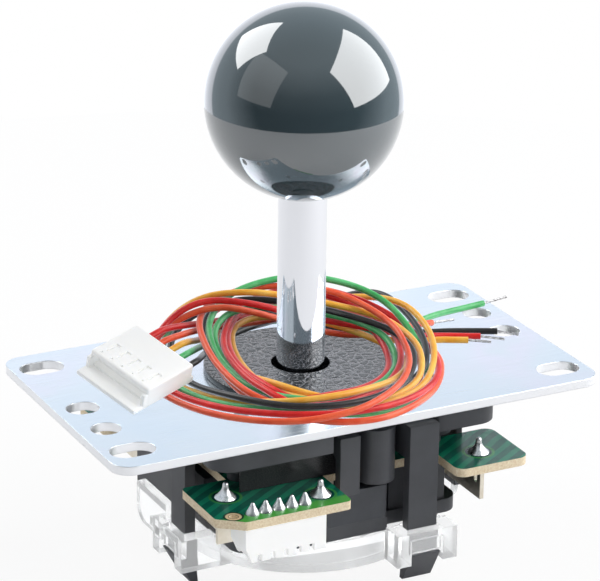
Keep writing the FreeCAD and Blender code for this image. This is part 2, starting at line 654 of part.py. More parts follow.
def make_holder():
    low, high = HOLDER_BOTTOM, CASE_BOTTOM
    base = rounded((-HOLDER_HALF_X, HOLDER_HALF_X), (-HOLDER_HALF_Y, HOLDER_HALF_Y), (low, high), HOLDER_CORNER)
    along = case_bounds()[0]
    front_step = block(along, (-CASE_OUTER, 0), (low, high))
    window = rounded((-HOLDER_WINDOW, HOLDER_WINDOW), (-HOLDER_WINDOW, HOLDER_WINDOW), (low - 1, high + 1),
                     WINDOW_CORNER)
    base = base.fuse([front_step, half_turn(front_step)]).cut(window)
    additions = []
    for side in SIDES:
        for place in PEG_POSITIONS:
            peg = disc(PEG_RADIUS, high, high + PEG_HEIGHT, place, -CASE_OUTER + PEG_INSET)
            additions.append(side_turn(peg, side))
        wall = block((CORNER_WALL_START, BOARD_END_CUT), (-BOARD_END_CUT, -BOARD_END_CUT + HOLDER_WALL),
                     (high, BOARD_BOTTOM))
        additions.append(side_turn(wall, side))
    return base.fuse(additions).removeSplitter()


def slotted_hole(x, y, low, high, radius):
    """Upright slot through a strip that faces along X."""
    ends = [Part.makeCylinder(radius, 4, Vec(x - 2, y, z), Vec(1, 0, 0)) for z in (low, high)]
    return block((x - 2, x + 2), (y - radius, y + radius), (low, high)).fuse(ends)


def make_front_terminals():
    half, thin, tab = TERMINAL_WIDTH / 2, TERMINAL_THICKNESS, TERMINAL_TAB / 2
    x, y = FRONT_TERMINALS[0]
    across = (x - thin / 2, x + thin / 2)
    outer = block(across, (y - half, -CASE_OUTER), (TERMINAL_BOTTOM, TERMINAL_BOTTOM + 2 * thin))
    outer = outer.fuse([block(across, (y - half, y + half), (TERMINAL_BOTTOM, BOARD_BOTTOM)),
                        block(across, (y - tab, y + tab), (BOARD_BOTTOM, BOARD_TOP))])
    x, y = FRONT_TERMINALS[1]
    inner = block((x - tab, x + tab), (y - thin / 2, y + thin / 2), (CASE_TOP, BOARD_TOP))
    return Part.makeCompound([outer.removeSplitter(), inner])


def make_right_terminals():
    """One strip faces outwards and has a slot; the other faces along the side, at the end of a long run."""
    half, thin, tab = TERMINAL_WIDTH / 2, TERMINAL_THICKNESS, TERMINAL_TAB / 2
    foot = (TERMINAL_BOTTOM, TERMINAL_BOTTOM + 4 * thin)
    x, y = RIGHT_TERMINALS[0]
    near = CASE_OVERHANG - CASE_LENGTH
    across = (x - thin / 2, x + thin / 2)
    first = block((CASE_OUTER, across[1]), (near + 2, near + 2 + thin), foot)
    first = first.fuse([block(across, (y, near + 2 + thin), foot),
                        block(across, (y - half, y + half), (TERMINAL_BOTTOM, BOARD_BOTTOM))])
    first = first.cut(slotted_hole(x, y, TERMINAL_BOTTOM + 4 * thin, BOARD_BOTTOM - 2 * thin, thin * 0.6))
    first = first.fuse(block(across, (y - tab, y + tab), (BOARD_BOTTOM, BOARD_TOP)))
    x, y = RIGHT_TERMINALS[1]
    far = CASE_OVERHANG
    run = (TERMINAL_RUN - thin / 2, TERMINAL_RUN + thin / 2)
    second = block((CASE_OUTER, run[1]), (far - 2 - thin, far - 2), foot)
    second = second.fuse([block(run, (far - 2 - thin, y + thin / 2), foot),
                          block((x - half, x + half), (y - thin / 2, y + thin / 2), (TERMINAL_BOTTOM, BOARD_BOTTOM)),
                          block((x - tab, x + tab), (y - thin / 2, y + thin / 2), (BOARD_BOTTOM, BOARD_TOP))])
    return Part.makeCompound([first.removeSplitter(), second.removeSplitter()])


def make_terminals(side):
    pair = make_front_terminals() if side in ("front", "back") else make_right_terminals()
    return pair if side in ("front", "right") else half_turn(pair)


# Gate

def make_ear(side):
    """Box that the leg passes down through: two cheeks, a bar and a set-back web that the hook catches."""
    middle = LEG_OFFSET[side]
    inside = LEG_WIDTH / 2 + SEAT_GAP
    web_back = LEG_FACE[side] + SEAT_GAP
    front = LEG_FACE[side] + EAR_REACH
    top, bottom = EAR_TOP, EAR_BOTTOM
    beside_holder = HOLDER_HALF_X + SEAT_GAP
    web_bottom = HOOK_TOP + FREE_GAP
    pieces = []
    for sign in (-1, 1):
        start, end = sorted((middle + sign * inside, middle + sign * (inside + EAR_CHEEK)))
        pieces.append(side_profile([(front, top), (front, bottom), (CHEEK_START, bottom), (CHEEK_START, HOLDER_BOTTOM),
                                    (beside_holder, HOLDER_BOTTOM), (beside_holder, top)], start, end))
    bar_bottom = top - EAR_BAR
    pieces.append(side_profile([(web_back, top), (front, top), (front, bar_bottom), (web_back + EAR_WEB, bar_bottom),
                                (web_back + EAR_WEB, web_bottom), (web_back, web_bottom)],
                               middle - inside - 0.5, middle + inside + 0.5))
    return [side_turn(piece, side) for piece in pieces]


def make_wing(side):
    face = LEG_FACE[side]
    outer = face + 0.9
    end = LEG_OFFSET[side] - LEG_WIDTH / 2 - SEAT_GAP
    start = end - WING_SPAN
    low, high = EAR_BOTTOM + 1.6, WING_TOP
    wall = block((start, end), (-outer, -outer + WING_THICKNESS), (low, high))
    corner = [e for e in wall.Edges if e.BoundBox.YLength > 1 and abs(e.BoundBox.XMin - start) < 1e-6
              and abs(e.BoundBox.XMax - start) < 1e-6]
    wall = wall.makeFillet(WING_THICKNESS * 2, [e for e in corner if e.BoundBox.ZMin < low + 1])
    wall = wall.makeFillet(WING_THICKNESS * 0.6, [e for e in wall.Edges if e.BoundBox.YLength > 1
                                                  and abs(e.BoundBox.XMin - start) < 1e-6
                                                  and e.BoundBox.ZMin > high - 0.1])
    shelf = block((start + WING_CORNER, end), (-outer + 0.2, -GATE_BORE - 1.0), (low + 0.4, low + 2.0))
    return [side_turn(wall, side), side_turn(shelf, side)]


def make_gate_frame():
    high = HOLDER_BOTTOM
    ring = disc(GATE_RADIUS, GATE_BOTTOM, high)
    pieces = []
    for side in SIDES:
        pieces += make_ear(side)
    for side in ("left", "right"):
        pieces += make_wing(side)
    body = ring.fuse(pieces).removeSplitter()
    cuts = [disc(GATE_BORE, GATE_BOTTOM - 1, high - GATE_LIP), disc(GATE_BORE - GATE_LIP_WIDTH, high - 3, high + 1)]
    for side in SIDES:
        middle = LEG_OFFSET[side]
        room = LEG_WIDTH / 2 + SEAT_GAP
        back = LEG_FACE[side] - LEG_THICKNESS - 0.6 - SEAT_GAP
        slot_front = LEG_FACE[side] + SEAT_GAP
        cuts.append(side_turn(block((middle - room, middle + room), (-slot_front, -back),
                                    (GATE_BOTTOM - 1, high + 6)), side))
    return body.cut(cuts).removeSplitter()


def make_gate_insert():
    outer = GATE_BORE - FREE_GAP
    lip_top = HOLDER_BOTTOM - GATE_LIP
    plate = disc(outer, GATE_BOTTOM, lip_top)
    window = rounded((-GATE_WINDOW, GATE_WINDOW), (-GATE_WINDOW, GATE_WINDOW), (GATE_BOTTOM - 1, lip_top + 1),
                     WINDOW_CORNER)
    return plate.cut(window)


# Harness

def connector_placement():
    rotation = FreeCAD.Rotation(*CONNECTOR_TURN)
    return FreeCAD.Placement(Vec(*CONNECTOR_CORNER), rotation)


def make_connector():
    """Local X runs from the mouth to the wires, Y from the near end to the far end, Z is up."""
    length = CONNECTOR_LIP + CONNECTOR_LENGTH
    body = block((CONNECTOR_LIP, length), (0, CONNECTOR_WIDTH), (0, CONNECTOR_HEIGHT))
    long_edges = [e for e in body.Edges if e.BoundBox.YLength > 1 and e.BoundBox.ZMin > CONNECTOR_HEIGHT - 0.1]
    body = body.makeFillet(CONNECTOR_EDGE, long_edges)
    lip = block((0, CONNECTOR_LIP + 1), (0, CONNECTOR_WIDTH), (0, CONNECTOR_LIP_THICKNESS))
    mouth = block((CONNECTOR_LIP - 1, CONNECTOR_LIP + CONNECTOR_MOUTH_DEPTH),
                  (CONNECTOR_WALL, CONNECTOR_WIDTH - CONNECTOR_WALL),
                  (CONNECTOR_LIP_THICKNESS, CONNECTOR_HEIGHT - CONNECTOR_WALL * 2))
    shape = body.fuse(lip).cut(mouth).removeSplitter()
    shape.Placement = connector_placement()
    return shape


def wire_exits():
    """Centre of each wire on the connector's rear face, near end first."""
    rear = CONNECTOR_LIP + CONNECTOR_LENGTH
    first = CONNECTOR_WIDTH / 2 - WAY_PITCH * (WAY_COUNT - 1) / 2
    place = connector_placement()
    return [place.multVec(Vec(rear, first + WAY_PITCH * i, CONNECTOR_HEIGHT / 2)) for i in range(WAY_COUNT)]


def make_coil():
    """Loose turns as one solid: low at the front, standing higher at the back, clear of the washer and shaft."""
    tall = COIL_BACK_TOP
    low = REST_GAP
    middle = Vec(COIL_CENTRE[0], COIL_CENTRE[1], low)
    outline = Part.Ellipse(middle, COIL_OUTER_Y, COIL_OUTER_X).toShape()
    outline.rotate(middle, UP, 90)
    ring = Part.Face(Part.Wire(outline)).extrude(Vec(0, 0, tall - low))
    ring = ring.cut(disc(COIL_INNER, low - 1, tall + 1))
    ring = ring.cut(disc(WASHER_DIAMETER / 2 + SEAT_GAP, low - 1, WASHER_THICKNESS + REST_GAP))
    wide = 2 * COIL_OUTER_Y
    near = COIL_CENTRE[1] - COIL_OUTER_Y
    level_from = COIL_OUTER_Y * COIL_LEVEL_FROM
    corners = [Vec(-wide, near, COIL_FRONT_TOP), Vec(-wide, level_from, tall), Vec(-wide, level_from, tall + wide),
               Vec(-wide, near - 1, tall + wide), Vec(-wide, near - 1, COIL_FRONT_TOP)]
    above = Part.Face(Part.makePolygon(corners + corners[:1])).extrude(Vec(2 * wide, 0, 0))
    length = CONNECTOR_LIP + CONNECTOR_LENGTH
    room = block((-1, length + SEAT_GAP), (-SEAT_GAP, CONNECTOR_WIDTH + SEAT_GAP), (-REST_GAP * 2, 3 * CONNECTOR_HEIGHT))
    room.Placement = connector_placement()
    return ring.cut([above, room])


def route_tube(name, points, diameter):
    """Tube along straight runs with tangent arcs as large as the runs allow; prints its bend radii."""
    corners = [Vec(p) for p in points]
    edges = []
    radii = []
    here = corners[0]
    length = 0.0
    for before, corner, after in zip(corners, corners[1:], corners[2:]):
        into = (corner - before).normalize()
        out = (after - corner).normalize()
        turn = acos(max(-1.0, min(1.0, into.dot(out))))
        trim = BEND_SHARE * min((corner - before).Length, (after - corner).Length)
        radius = trim / tan(turn / 2)
        arc_start = corner - into * trim
        arc_end = corner + out * trim
        inward = (out - into).normalize()
        middle = corner + inward * (radius / cos(turn / 2) - radius)
        edges.append(Part.LineSegment(here, arc_start).toShape())
        edges.append(Part.Arc(arc_start, middle, arc_end).toShape())
        length += (arc_start - here).Length + radius * turn
        radii.append(round(radius, 1))
        here = arc_end
    edges.append(Part.LineSegment(here, corners[-1]).toShape())
    length += (corners[-1] - here).Length
    path = Part.Wire(edges)
    start_direction = (corners[1] - corners[0]).normalize()
    section = Part.Wire(Part.makeCircle(diameter / 2, corners[0], start_direction))
    tube = path.makePipeShell([section], True, True)
    expected = pi * (diameter / 2) ** 2 * length
    print(name, "radii", radii, "volume ratio", round(tube.Volume / expected, 4))
    return tube


# Each lead leaves its way in the connector along the connector's length, then bends into the coil.
# The first number is that straight run; the steps that follow go from point to point.
LEAD_RUNS = {
    "black": (6.4, (1.7, 4.7, -0.4), (2.4, 4.3, -1.6)),
    "green": (5.8, (2.0, 4.6, -0.3), (2.9, 3.9, -1.5)),
    "yellow": (5.2, (2.4, 4.4, -0.1), (3.1, 3.8, -1.5)),
    "orange": (4.6, (2.6, 4.2, 0.0), (3.4, 3.6, -1.5)),
    "red": (4.2, (2.9, 3.9, 0.0), (3.7, 3.5, -1.5)),
}
# Free tails on the right: from inside the coil down to the plate and along it to the cut end.
TAIL_ROUTES = {
    "green": ((20.6, 10.2, 1.7), (25.6, 10.0, 1.4), (31.2, 10.1, 1.1), (38.0, 11.0, 0.8), (45.2, 12.3, 0.7)),
    "orange": ((21.5, 8.0, 1.6), (26.3, 7.8, 1.3), (30.9, 6.8, 1.0)),
    "black": ((21.0, 6.0, 1.5), (25.0, 4.9, 1.2), (29.3, 3.5, 0.9), (34.8, 1.3, 0.7), (40.4, -1.1, 0.7)),
    "red": ((20.5, 3.8, 1.4), (24.6, 3.0, 1.2), (28.7, 1.6, 0.9), (32.4, 0.1, 0.7), (36.3, -1.9, 0.7)),
    "yellow": ((20.0, 1.8, 1.3), (23.9, 1.1, 1.1), (27.4, 0.0, 0.8), (30.4, -1.1, 0.7), (33.4, -2.6, 0.7)),
}
STRAND_ENDS = {
    "green": (50.8, 13.0, 0.9),
    "orange": (35.8, 7.0, 0.9),
    "black": (43.3, -4.0, 0.5),
    "red": (39.8, -4.8, 0.5),
    "yellow": (36.9, -4.9, 0.5),
}


def make_lead(name):
    run, *steps = LEAD_RUNS[name]
    points = [wire_exits()[list(LEAD_RUNS).index(name)]]
    points.append(points[0] + connector_placement().Rotation.multVec(Vec(run, 0, 0)))
    for step in steps:
        points.append(points[-1] + Vec(*step))
    return route_tube("lead_" + name, points, WIRE_DIAMETER)


def make_strands():
    strands = []
    for name, end in STRAND_ENDS.items():
        start = Vec(*TAIL_ROUTES[name][-1])
        along = Vec(*end) - start
        strands.append(Part.makeCylinder(STRAND_DIAMETER / 2, along.Length, start, along))
    return Part.makeCompound(strands)


# Build every node

def build():
    nodes = {
        "ball_top": make_ball_top(),
        "ball_insert": make_ball_insert(),
        "lever_shaft": make_shaft(),
        "pivot_ball": make_pivot_ball(),
        "actuator": make_actuator(),
        "retaining_ring": make_retaining_ring(),
        "spring_collar": make_collar(),
        "centring_spring": make_spring(),
        "dust_washer": make_washer(),
        "mounting_plate": make_plate(),
        "plate_screws": make_screws(),
        "housing": make_housing(),
        "switch_board": make_board(),
        "board_header": make_header(),
        "header_pins": make_header_pins(),
        "solder_joints": make_solder(),
        "switch_holder": make_holder(),
        "gate_frame": make_gate_frame(),
        "gate_insert": make_gate_insert(),
        "harness_connector": make_connector(),
        "harness_coil": make_coil(),
        "harness_strands": make_strands(),
    }
    for side in SIDES:
        nodes["switch_case_" + side] = make_case(side)
        nodes["switch_plunger_" + side] = make_plunger(side)
        nodes["switch_leaf_" + side] = make_leaf(side)
        nodes["switch_terminals_" + side] = make_terminals(side)
    for name in LEAD_RUNS:
        nodes["lead_" + name] = make_lead(name)
        nodes["tail_" + name] = route_tube("tail_" + name, TAIL_ROUTES[name], WIRE_DIAMETER)
    return nodes


os.makedirs("parts", exist_ok=True)
for node, shape in build().items():
    shape.exportStep("parts/" + node + ".step")
    print(node, "solids", len(shape.Solids), "valid", shape.isValid(), "volume", round(shape.Volume, 1))
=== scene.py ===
# %% [markdown]
# # An arcade joystick lever, dressed for the camera
# The solids of the lever, its plate, housing, switches, board and gate come from the CAD part and stay as they are.
# This lesson gives them their finishes, and models the pieces that a solid only stands for: the five loose wires,
# the wire connector, the bare strands and the small fittings. Everything is in metres, with the origin at the
# middle of the mounting plate's top face and Z along the shaft.

# %% Load the fixed frame
import bpy
import bmesh
from math import cos, pi, radians, sin
from mathutils import Matrix, Vector


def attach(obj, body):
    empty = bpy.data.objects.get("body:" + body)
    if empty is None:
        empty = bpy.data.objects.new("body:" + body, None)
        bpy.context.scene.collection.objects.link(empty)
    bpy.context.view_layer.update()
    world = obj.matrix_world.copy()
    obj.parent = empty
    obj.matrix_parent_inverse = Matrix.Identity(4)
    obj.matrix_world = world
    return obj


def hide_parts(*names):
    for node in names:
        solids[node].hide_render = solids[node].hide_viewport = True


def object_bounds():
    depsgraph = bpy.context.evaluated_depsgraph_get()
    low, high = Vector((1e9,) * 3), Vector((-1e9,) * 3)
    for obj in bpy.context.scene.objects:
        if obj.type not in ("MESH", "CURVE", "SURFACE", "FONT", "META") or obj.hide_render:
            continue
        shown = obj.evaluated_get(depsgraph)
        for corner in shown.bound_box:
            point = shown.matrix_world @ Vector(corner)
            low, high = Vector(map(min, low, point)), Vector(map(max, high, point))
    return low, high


MM = 0.001
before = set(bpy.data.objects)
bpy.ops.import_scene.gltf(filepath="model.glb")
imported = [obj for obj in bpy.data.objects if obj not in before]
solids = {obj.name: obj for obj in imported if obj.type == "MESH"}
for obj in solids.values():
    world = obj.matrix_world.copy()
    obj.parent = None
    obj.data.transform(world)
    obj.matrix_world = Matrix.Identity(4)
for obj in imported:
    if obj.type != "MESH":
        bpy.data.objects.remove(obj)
cad_box = [list(corner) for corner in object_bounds()]
scene = bpy.context.scene
scene.view_settings.view_transform = "Standard"

# %% [markdown]
# ## The camera
# The photograph was taken from the front left and above, from about half a metre with a long lens. The place and the
# three turns below were fitted to the plate's corners and the ball, so the picture is not moved by eye.

# %% Camera
CAMERA_PLACE = Vector((-0.232921, -0.450703, 0.210448))
CAMERA_TURNS = ((-27.3, "Z"), (90 - 21.07, "X"), (0.79, "Z"))
PHOTO_WIDTH = 600
FOCAL_LENGTH_IN_PIXELS = 3046.56
camera_turn = Matrix.Identity(4)
for degrees_turned, axis in CAMERA_TURNS:
    camera_turn = camera_turn @ Matrix.Rotation(radians(degrees_turned), 4, axis)
lens = bpy.data.cameras.new("camera")
lens.sensor_fit = "HORIZONTAL"
lens.sensor_width = 36.0
lens.lens = FOCAL_LENGTH_IN_PIXELS / PHOTO_WIDTH * lens.sensor_width
lens.clip_start = 0.01
camera = bpy.data.objects.new("camera", lens)
camera.matrix_world = Matrix.Translation(CAMERA_PLACE) @ camera_turn
scene.collection.objects.link(camera)
scene.camera = camera
print("focal length", round(lens.lens, 1), "mm")

# %% [markdown]
# ## Helpers for shader nodes
# Every finish here is built from nodes, with no picture, so that it looks right at any size. A short helper that adds
# a node and fills its sockets keeps each recipe readable. Sockets are named or numbered: another node's socket is
# linked into them, and a plain number is set.

# %% Shader node helpers
def shader_node(tree, kind, sockets=None, **settings):
    made = tree.nodes.new(kind)
    for name, value in settings.items():
        setattr(made, name, value)
    for key, value in (sockets or {}).items():
        if isinstance(value, bpy.types.NodeSocket):
            tree.links.new(value, made.inputs[key])
        else:
            made.inputs[key].default_value = value
    return made


def start_finish(name):
    finish = bpy.data.materials.new(name)
    finish.use_nodes = True
    tree = finish.node_tree
    tree.nodes.clear()
    place = tree.nodes.new("ShaderNodeTexCoord").outputs["Object"]
    return finish, tree, place


def end_finish(finish, tree, sockets):
    surface = shader_node(tree, "ShaderNodeBsdfPrincipled", sockets)
    shader_node(tree, "ShaderNodeOutputMaterial", {"Surface": surface.outputs[0]})
    print("finish:", finish.name, "with", len(tree.nodes), "nodes")
    return finish


# %% [markdown]
# Most finishes share a few small moves: a noise, a ramp that turns it into colours or amounts, a mix of two colours
# and a bump. Scales are per metre, so a scale of 1000 makes grains of about a millimetre.

# %% Noise, ramp, mix and bump
def noise(tree, place, scale, detail=4.0, rough=0.55):
    sockets = {"Vector": place, "Scale": scale, "Detail": detail, "Roughness": rough}
    return shader_node(tree, "ShaderNodeTexNoise", sockets).outputs[0]


def ramp(tree, value, *stops):
    made = shader_node(tree, "ShaderNodeValToRGB", {"Fac": value})
    elements = made.color_ramp.elements
    while len(elements) < len(stops):
        elements.new(0.5)
    for element, (position, colour) in zip(elements, stops):
        element.position = position
        shade = colour if isinstance(colour, tuple) else (colour, colour, colour)
        element.color = (*shade, 1.0)
    return made.outputs[0]


def mix_colours(tree, share, first, second, way="MIX"):
    made = tree.nodes.new("ShaderNodeMix")
    made.data_type = "RGBA"
    made.blend_type = way
    for key, value in ((0, share), (6, first), (7, second)):
        if isinstance(value, bpy.types.NodeSocket):
            tree.links.new(value, made.inputs[key])
        else:
            made.inputs[key].default_value = (*value, 1.0) if isinstance(value, tuple) else value
    return made.outputs[2]


def bump(tree, height, strength, depth, normal=None):
    sockets = {"Height": height, "Strength": strength, "Distance": depth}
    if normal is not None:
        sockets["Normal"] = normal
    return shader_node(tree, "ShaderNodeBump", sockets).outputs[0]


# %% [markdown]
# Some finishes also depend on where a point lies or which way its face looks: the zinc is bright on top and duller on
# a cut edge, and moulded edges look rounded though the solid's are sharp. That takes sums on numbers and on vectors.

# %% Sums, level faces and soft edges
def sum_up(tree, way, *values, clamp=False):
    return shader_node(tree, "ShaderNodeMath", dict(enumerate(values)), operation=way, use_clamp=clamp).outputs[0]


def sum_up_vectors(tree, way, *values):
    made = shader_node(tree, "ShaderNodeVectorMath", dict(enumerate(values)), operation=way)
    return made.outputs["Value" if way in ("DOT_PRODUCT", "LENGTH") else "Vector"]


def part_along(tree, vector, axis):
    return shader_node(tree, "ShaderNodeSeparateXYZ", {0: vector}).outputs[axis]


def flatness(tree, low, high):
    """1 on faces that lie level, 0 on upright ones"""
    normal = tree.nodes.new("ShaderNodeNewGeometry").outputs["Normal"]
    return ramp(tree, sum_up(tree, "ABSOLUTE", part_along(tree, normal, "Z")), (low, 0.0), (high, 1.0))


def soft_edges(tree, radius):
    return shader_node(tree, "ShaderNodeBevel", {"Radius": radius}, samples=4).outputs[0]


# %% [markdown]
# ## Floor and light
# The lever stands on a white table under two large soft boxes, with a pale card behind it. The table is a disc that
# ends a quarter of a metre away: a polished ball shows where it ends. To the camera and through clear plastic the
# table and the world are plain white; the lamps do not make it so, so that pale parts keep their colour.

# %% White table
TABLE_RADIUS = 0.26
TABLE_GAP = 0.0004
FLOOR_HEIGHT = cad_box[0][2] - TABLE_GAP
bm = bmesh.new()
bmesh.ops.create_circle(bm, cap_ends=True, segments=96, radius=TABLE_RADIUS)
bmesh.ops.translate(bm, verts=bm.verts, vec=(0, 0, FLOOR_HEIGHT))
floor_mesh = bpy.data.meshes.new("floor")
bm.to_mesh(floor_mesh)
bm.free()
floor = bpy.data.objects.new("floor", floor_mesh)
scene.collection.objects.link(floor)
print("floor at", round(FLOOR_HEIGHT / MM, 2), "mm")

# %% [markdown]
# The table is nine parts plain white to the camera and one part matt, which keeps a faint shadow under the lever. In
# mirror images it is nearly all matt, and so darker: the lower half of the ball shows that.

# %% Table surface: white to the camera, with a faint shadow
WHITE_TO_THE_CAMERA, WHITE_IN_MIRRORS = 0.9, 0.12


def camera_rays(tree):
    """the light path's node, and 1 for what the camera sees, also through clear plastic"""
    rays = tree.nodes.new("ShaderNodeLightPath")
    seen = sum_up(tree, "MAXIMUM", rays.outputs["Is Camera Ray"], rays.outputs["Transmission Depth"], clamp=True)
    return rays, seen


floor_finish, tree, place = start_finish("table_white")
rays, seen = camera_rays(tree)
mirrored = sum_up(tree, "MULTIPLY", rays.outputs["Is Glossy Ray"], WHITE_IN_MIRRORS)
share = sum_up(tree, "MULTIPLY_ADD", seen, WHITE_TO_THE_CAMERA, mirrored, clamp=True)
matt = shader_node(tree, "ShaderNodeBsdfDiffuse", {"Color": (0.86, 0.86, 0.87, 1)})
white = shader_node(tree, "ShaderNodeEmission", {"Color": (1, 1, 1, 1), "Strength": 1.0})
both = shader_node(tree, "ShaderNodeMixShader", {0: share, 1: matt.outputs[0], 2: white.outputs[0]})
shader_node(tree, "ShaderNodeOutputMaterial", {"Surface": both.outputs[0]})
floor.data.materials.append(floor_finish)
print("table finish ready")

# %% [markdown]
# The world is white to the eye too. Mirrors see a dim studio instead, lighter towards the ceiling and towards the far
# side, where a pale card stands: chrome and a polished ball are made of what they mirror. All else gets an even fill.

# %% World: white to the eye, a dim studio with a pale card behind to mirrors
world = bpy.data.worlds.new("studio")
scene.world = world
world.use_nodes = True
tree = world.node_tree
tree.nodes.clear()
rays, seen = camera_rays(tree)
direction = tree.nodes.new("ShaderNodeTexCoord").outputs["Generated"]
BEHIND = (0.362, 0.874, -0.334)
FILL = 0.27
facing = sum_up_vectors(tree, "DOT_PRODUCT", direction, BEHIND)
height = part_along(tree, direction, "Z")
room = ramp(tree, height, (0.0, (0.05, 0.06, 0.065)), (0.35, (0.13, 0.15, 0.16)), (0.85, (0.42, 0.47, 0.50)))
turned_away = sum_up(tree, "MULTIPLY_ADD", facing, 0.5, 0.5)
room = mix_colours(tree, ramp(tree, turned_away, (0.28, 0.0), (0.62, 1.0)), room, (0.48, 0.55, 0.60))
card = mix_colours(tree, ramp(tree, facing, (0.705, 0.0), (0.745, 1.0)), room, (1.22, 1.26, 1.36))
studio = shader_node(tree, "ShaderNodeBackground", {"Color": card, "Strength": 1.0})
fill = shader_node(tree, "ShaderNodeBackground", {"Color": (0.93, 0.96, 1.0, 1), "Strength": FILL})
to_mirrors = rays.outputs["Is Glossy Ray"]
lit = shader_node(tree, "ShaderNodeMixShader", {0: to_mirrors, 1: fill.outputs[0], 2: studio.outputs[0]})
white = shader_node(tree, "ShaderNodeBackground", {"Color": (1, 1, 1, 1), "Strength": 1.0})
whole = shader_node(tree, "ShaderNodeMixShader", {0: seen, 1: lit.outputs[0], 2: white.outputs[0]})
shader_node(tree, "ShaderNodeOutputWorld", {"Surface": whole.outputs[0]})
print("world ready")

# %% [markdown]
# The two soft boxes and a dimmer panel stand where their mirror images in the ball say they are. Each is an area lamp
# that faces the ball, and none of them is seen by the camera. A box is given by its place, width, height and watts.

# %% Soft boxes
BALL_MIDDLE = Vector((0, 0, 0.0503))
SOFT_BOXES = {
    "right_box": ((0.575, -0.285, 0.439), 1.05, 0.76, 8.4),
    "left_box": ((-0.297, 0.479, 0.545), 0.54, 0.46, 2.8),
    "low_panel": ((-0.650, -0.021, 0.425), 0.67, 0.64, 0.5),
}
for name, (place, width, height, watts) in SOFT_BOXES.items():
    lamp = bpy.data.lights.new(name, "AREA")
    lamp.shape = "RECTANGLE"
    lamp.size = width
    lamp.size_y = height
    lamp.energy = watts
    box = bpy.data.objects.new(name, lamp)
    towards = (Vector(place) - BALL_MIDDLE).normalized()
    box.matrix_world = Matrix.Translation(place) @ towards.to_track_quat("Z", "Y").to_matrix().to_4x4()
    box.visible_camera = False
    scene.collection.objects.link(box)
print("soft boxes:", len(SOFT_BOXES))

# %% [markdown]
# ## The five wires
# The harness is the most telling part of the picture: five flexible wires leave the white connector side by side,
# turn two and a half to three and a half times round the shaft and end in cut tails on the right. A rope simulation
# could drop them, but not into the turns of the photograph, so each wire is one smooth curve through chosen points. A
# point is written as a maker would lay it: the direction round the shaft in degrees (0 at the left end of the plate,
# 90 at the back, 180 at the right, 270 at the front), the distance from the shaft's axis and the height over the
# plate, both in millimetres.

# %% How a wire is made from its points
WIRE_DIAMETER = 1.2 * MM


def round_shaft(direction, distance, height):
    turn = radians(direction)
    return Vector((-distance * cos(turn), distance * sin(turn), height)) * MM


def lay_wire(name, turns):
    curve = bpy.data.curves.new(name, "CURVE")
    curve.dimensions = "3D"
    curve.bevel_depth = WIRE_DIAMETER / 2
    curve.bevel_resolution = 4
    curve.resolution_u = 10
    curve.use_fill_caps = True
    spline = curve.splines.new("NURBS")
    spline.points.add(len(turns) - 1)
    for point, turn in zip(spline.points, turns):
        point.co = (*round_shaft(*turn), 1.0)
    spline.order_u = 3
    spline.use_endpoint_u = True
    wire = bpy.data.objects.new(name, curve)
    scene.collection.objects.link(wire)
    print(name, "points", len(turns))
    return wire


wire_turns = {}
print("wire diameter", round(WIRE_DIAMETER / MM, 2), "mm")

# %% [markdown]
# The red wire comes from the connector's far end, lies low round the back, makes the inner loop on the left and ends
# bright red between the black and the yellow tail.

# %% Red wire
wire_turns["red"] = [
    (17.5, 28.45, 6.79), (20.0, 26.82, 7.29), (25.6, 24.23, 7.72), (48.0, 18.42, 5.97), (86.1, 16.95, 4.37),
    (125.6, 15.42, 5.59), (167.9, 15.43, 5.73), (201.8, 16.04, 2.73), (232.9, 17.35, 2.10),
    (262.7, 19.27, 2.71), (283.5, 20.89, 3.44), (295.5, 20.40, 2.46), (302.8, 19.29, 2.33),
    (316.7, 17.48, 3.29), (352.8, 14.23, 3.84), (50.3, 15.22, 5.00), (91.2, 19.36, 7.18),
    (127.4, 19.47, 7.77), (173.4, 18.83, 5.38), (215.6, 18.96, 3.87), (248.8, 20.83, 2.66),
    (269.8, 22.75, 2.83), (284.6, 23.07, 2.53), (294.3, 22.69, 2.35), (300.2, 22.11, 2.38),
    (309.6, 21.14, 3.41), (335.4, 16.89, 4.11), (27.5, 14.91, 5.15), (74.5, 16.25, 8.19),
    (118.4, 17.46, 9.66), (157.9, 20.14, 6.90), (188.8, 22.96, 3.57), (215.8, 25.84, 2.43),
    (242.0, 27.10, 2.01), (269.5, 27.02, 2.06), (301.0, 25.84, 1.72), (337.2, 25.84, 0.75),
    (7.0, 28.04, 0.90), (26.1, 26.58, 6.25), (41.2, 20.09, 11.07), (64.7, 12.58, 9.80), (118.5, 9.18, 6.43),
    (168.5, 15.52, 4.13), (175.1, 24.17, 1.34), (177.9, 30.31, 0.71), (180.9, 33.52, 0.65),
    (183.0, 36.41, 0.66),
]

# %% [markdown]
# The orange wire swings widest: it hangs over the plate's front edge on its first turn and ends in the short tail.

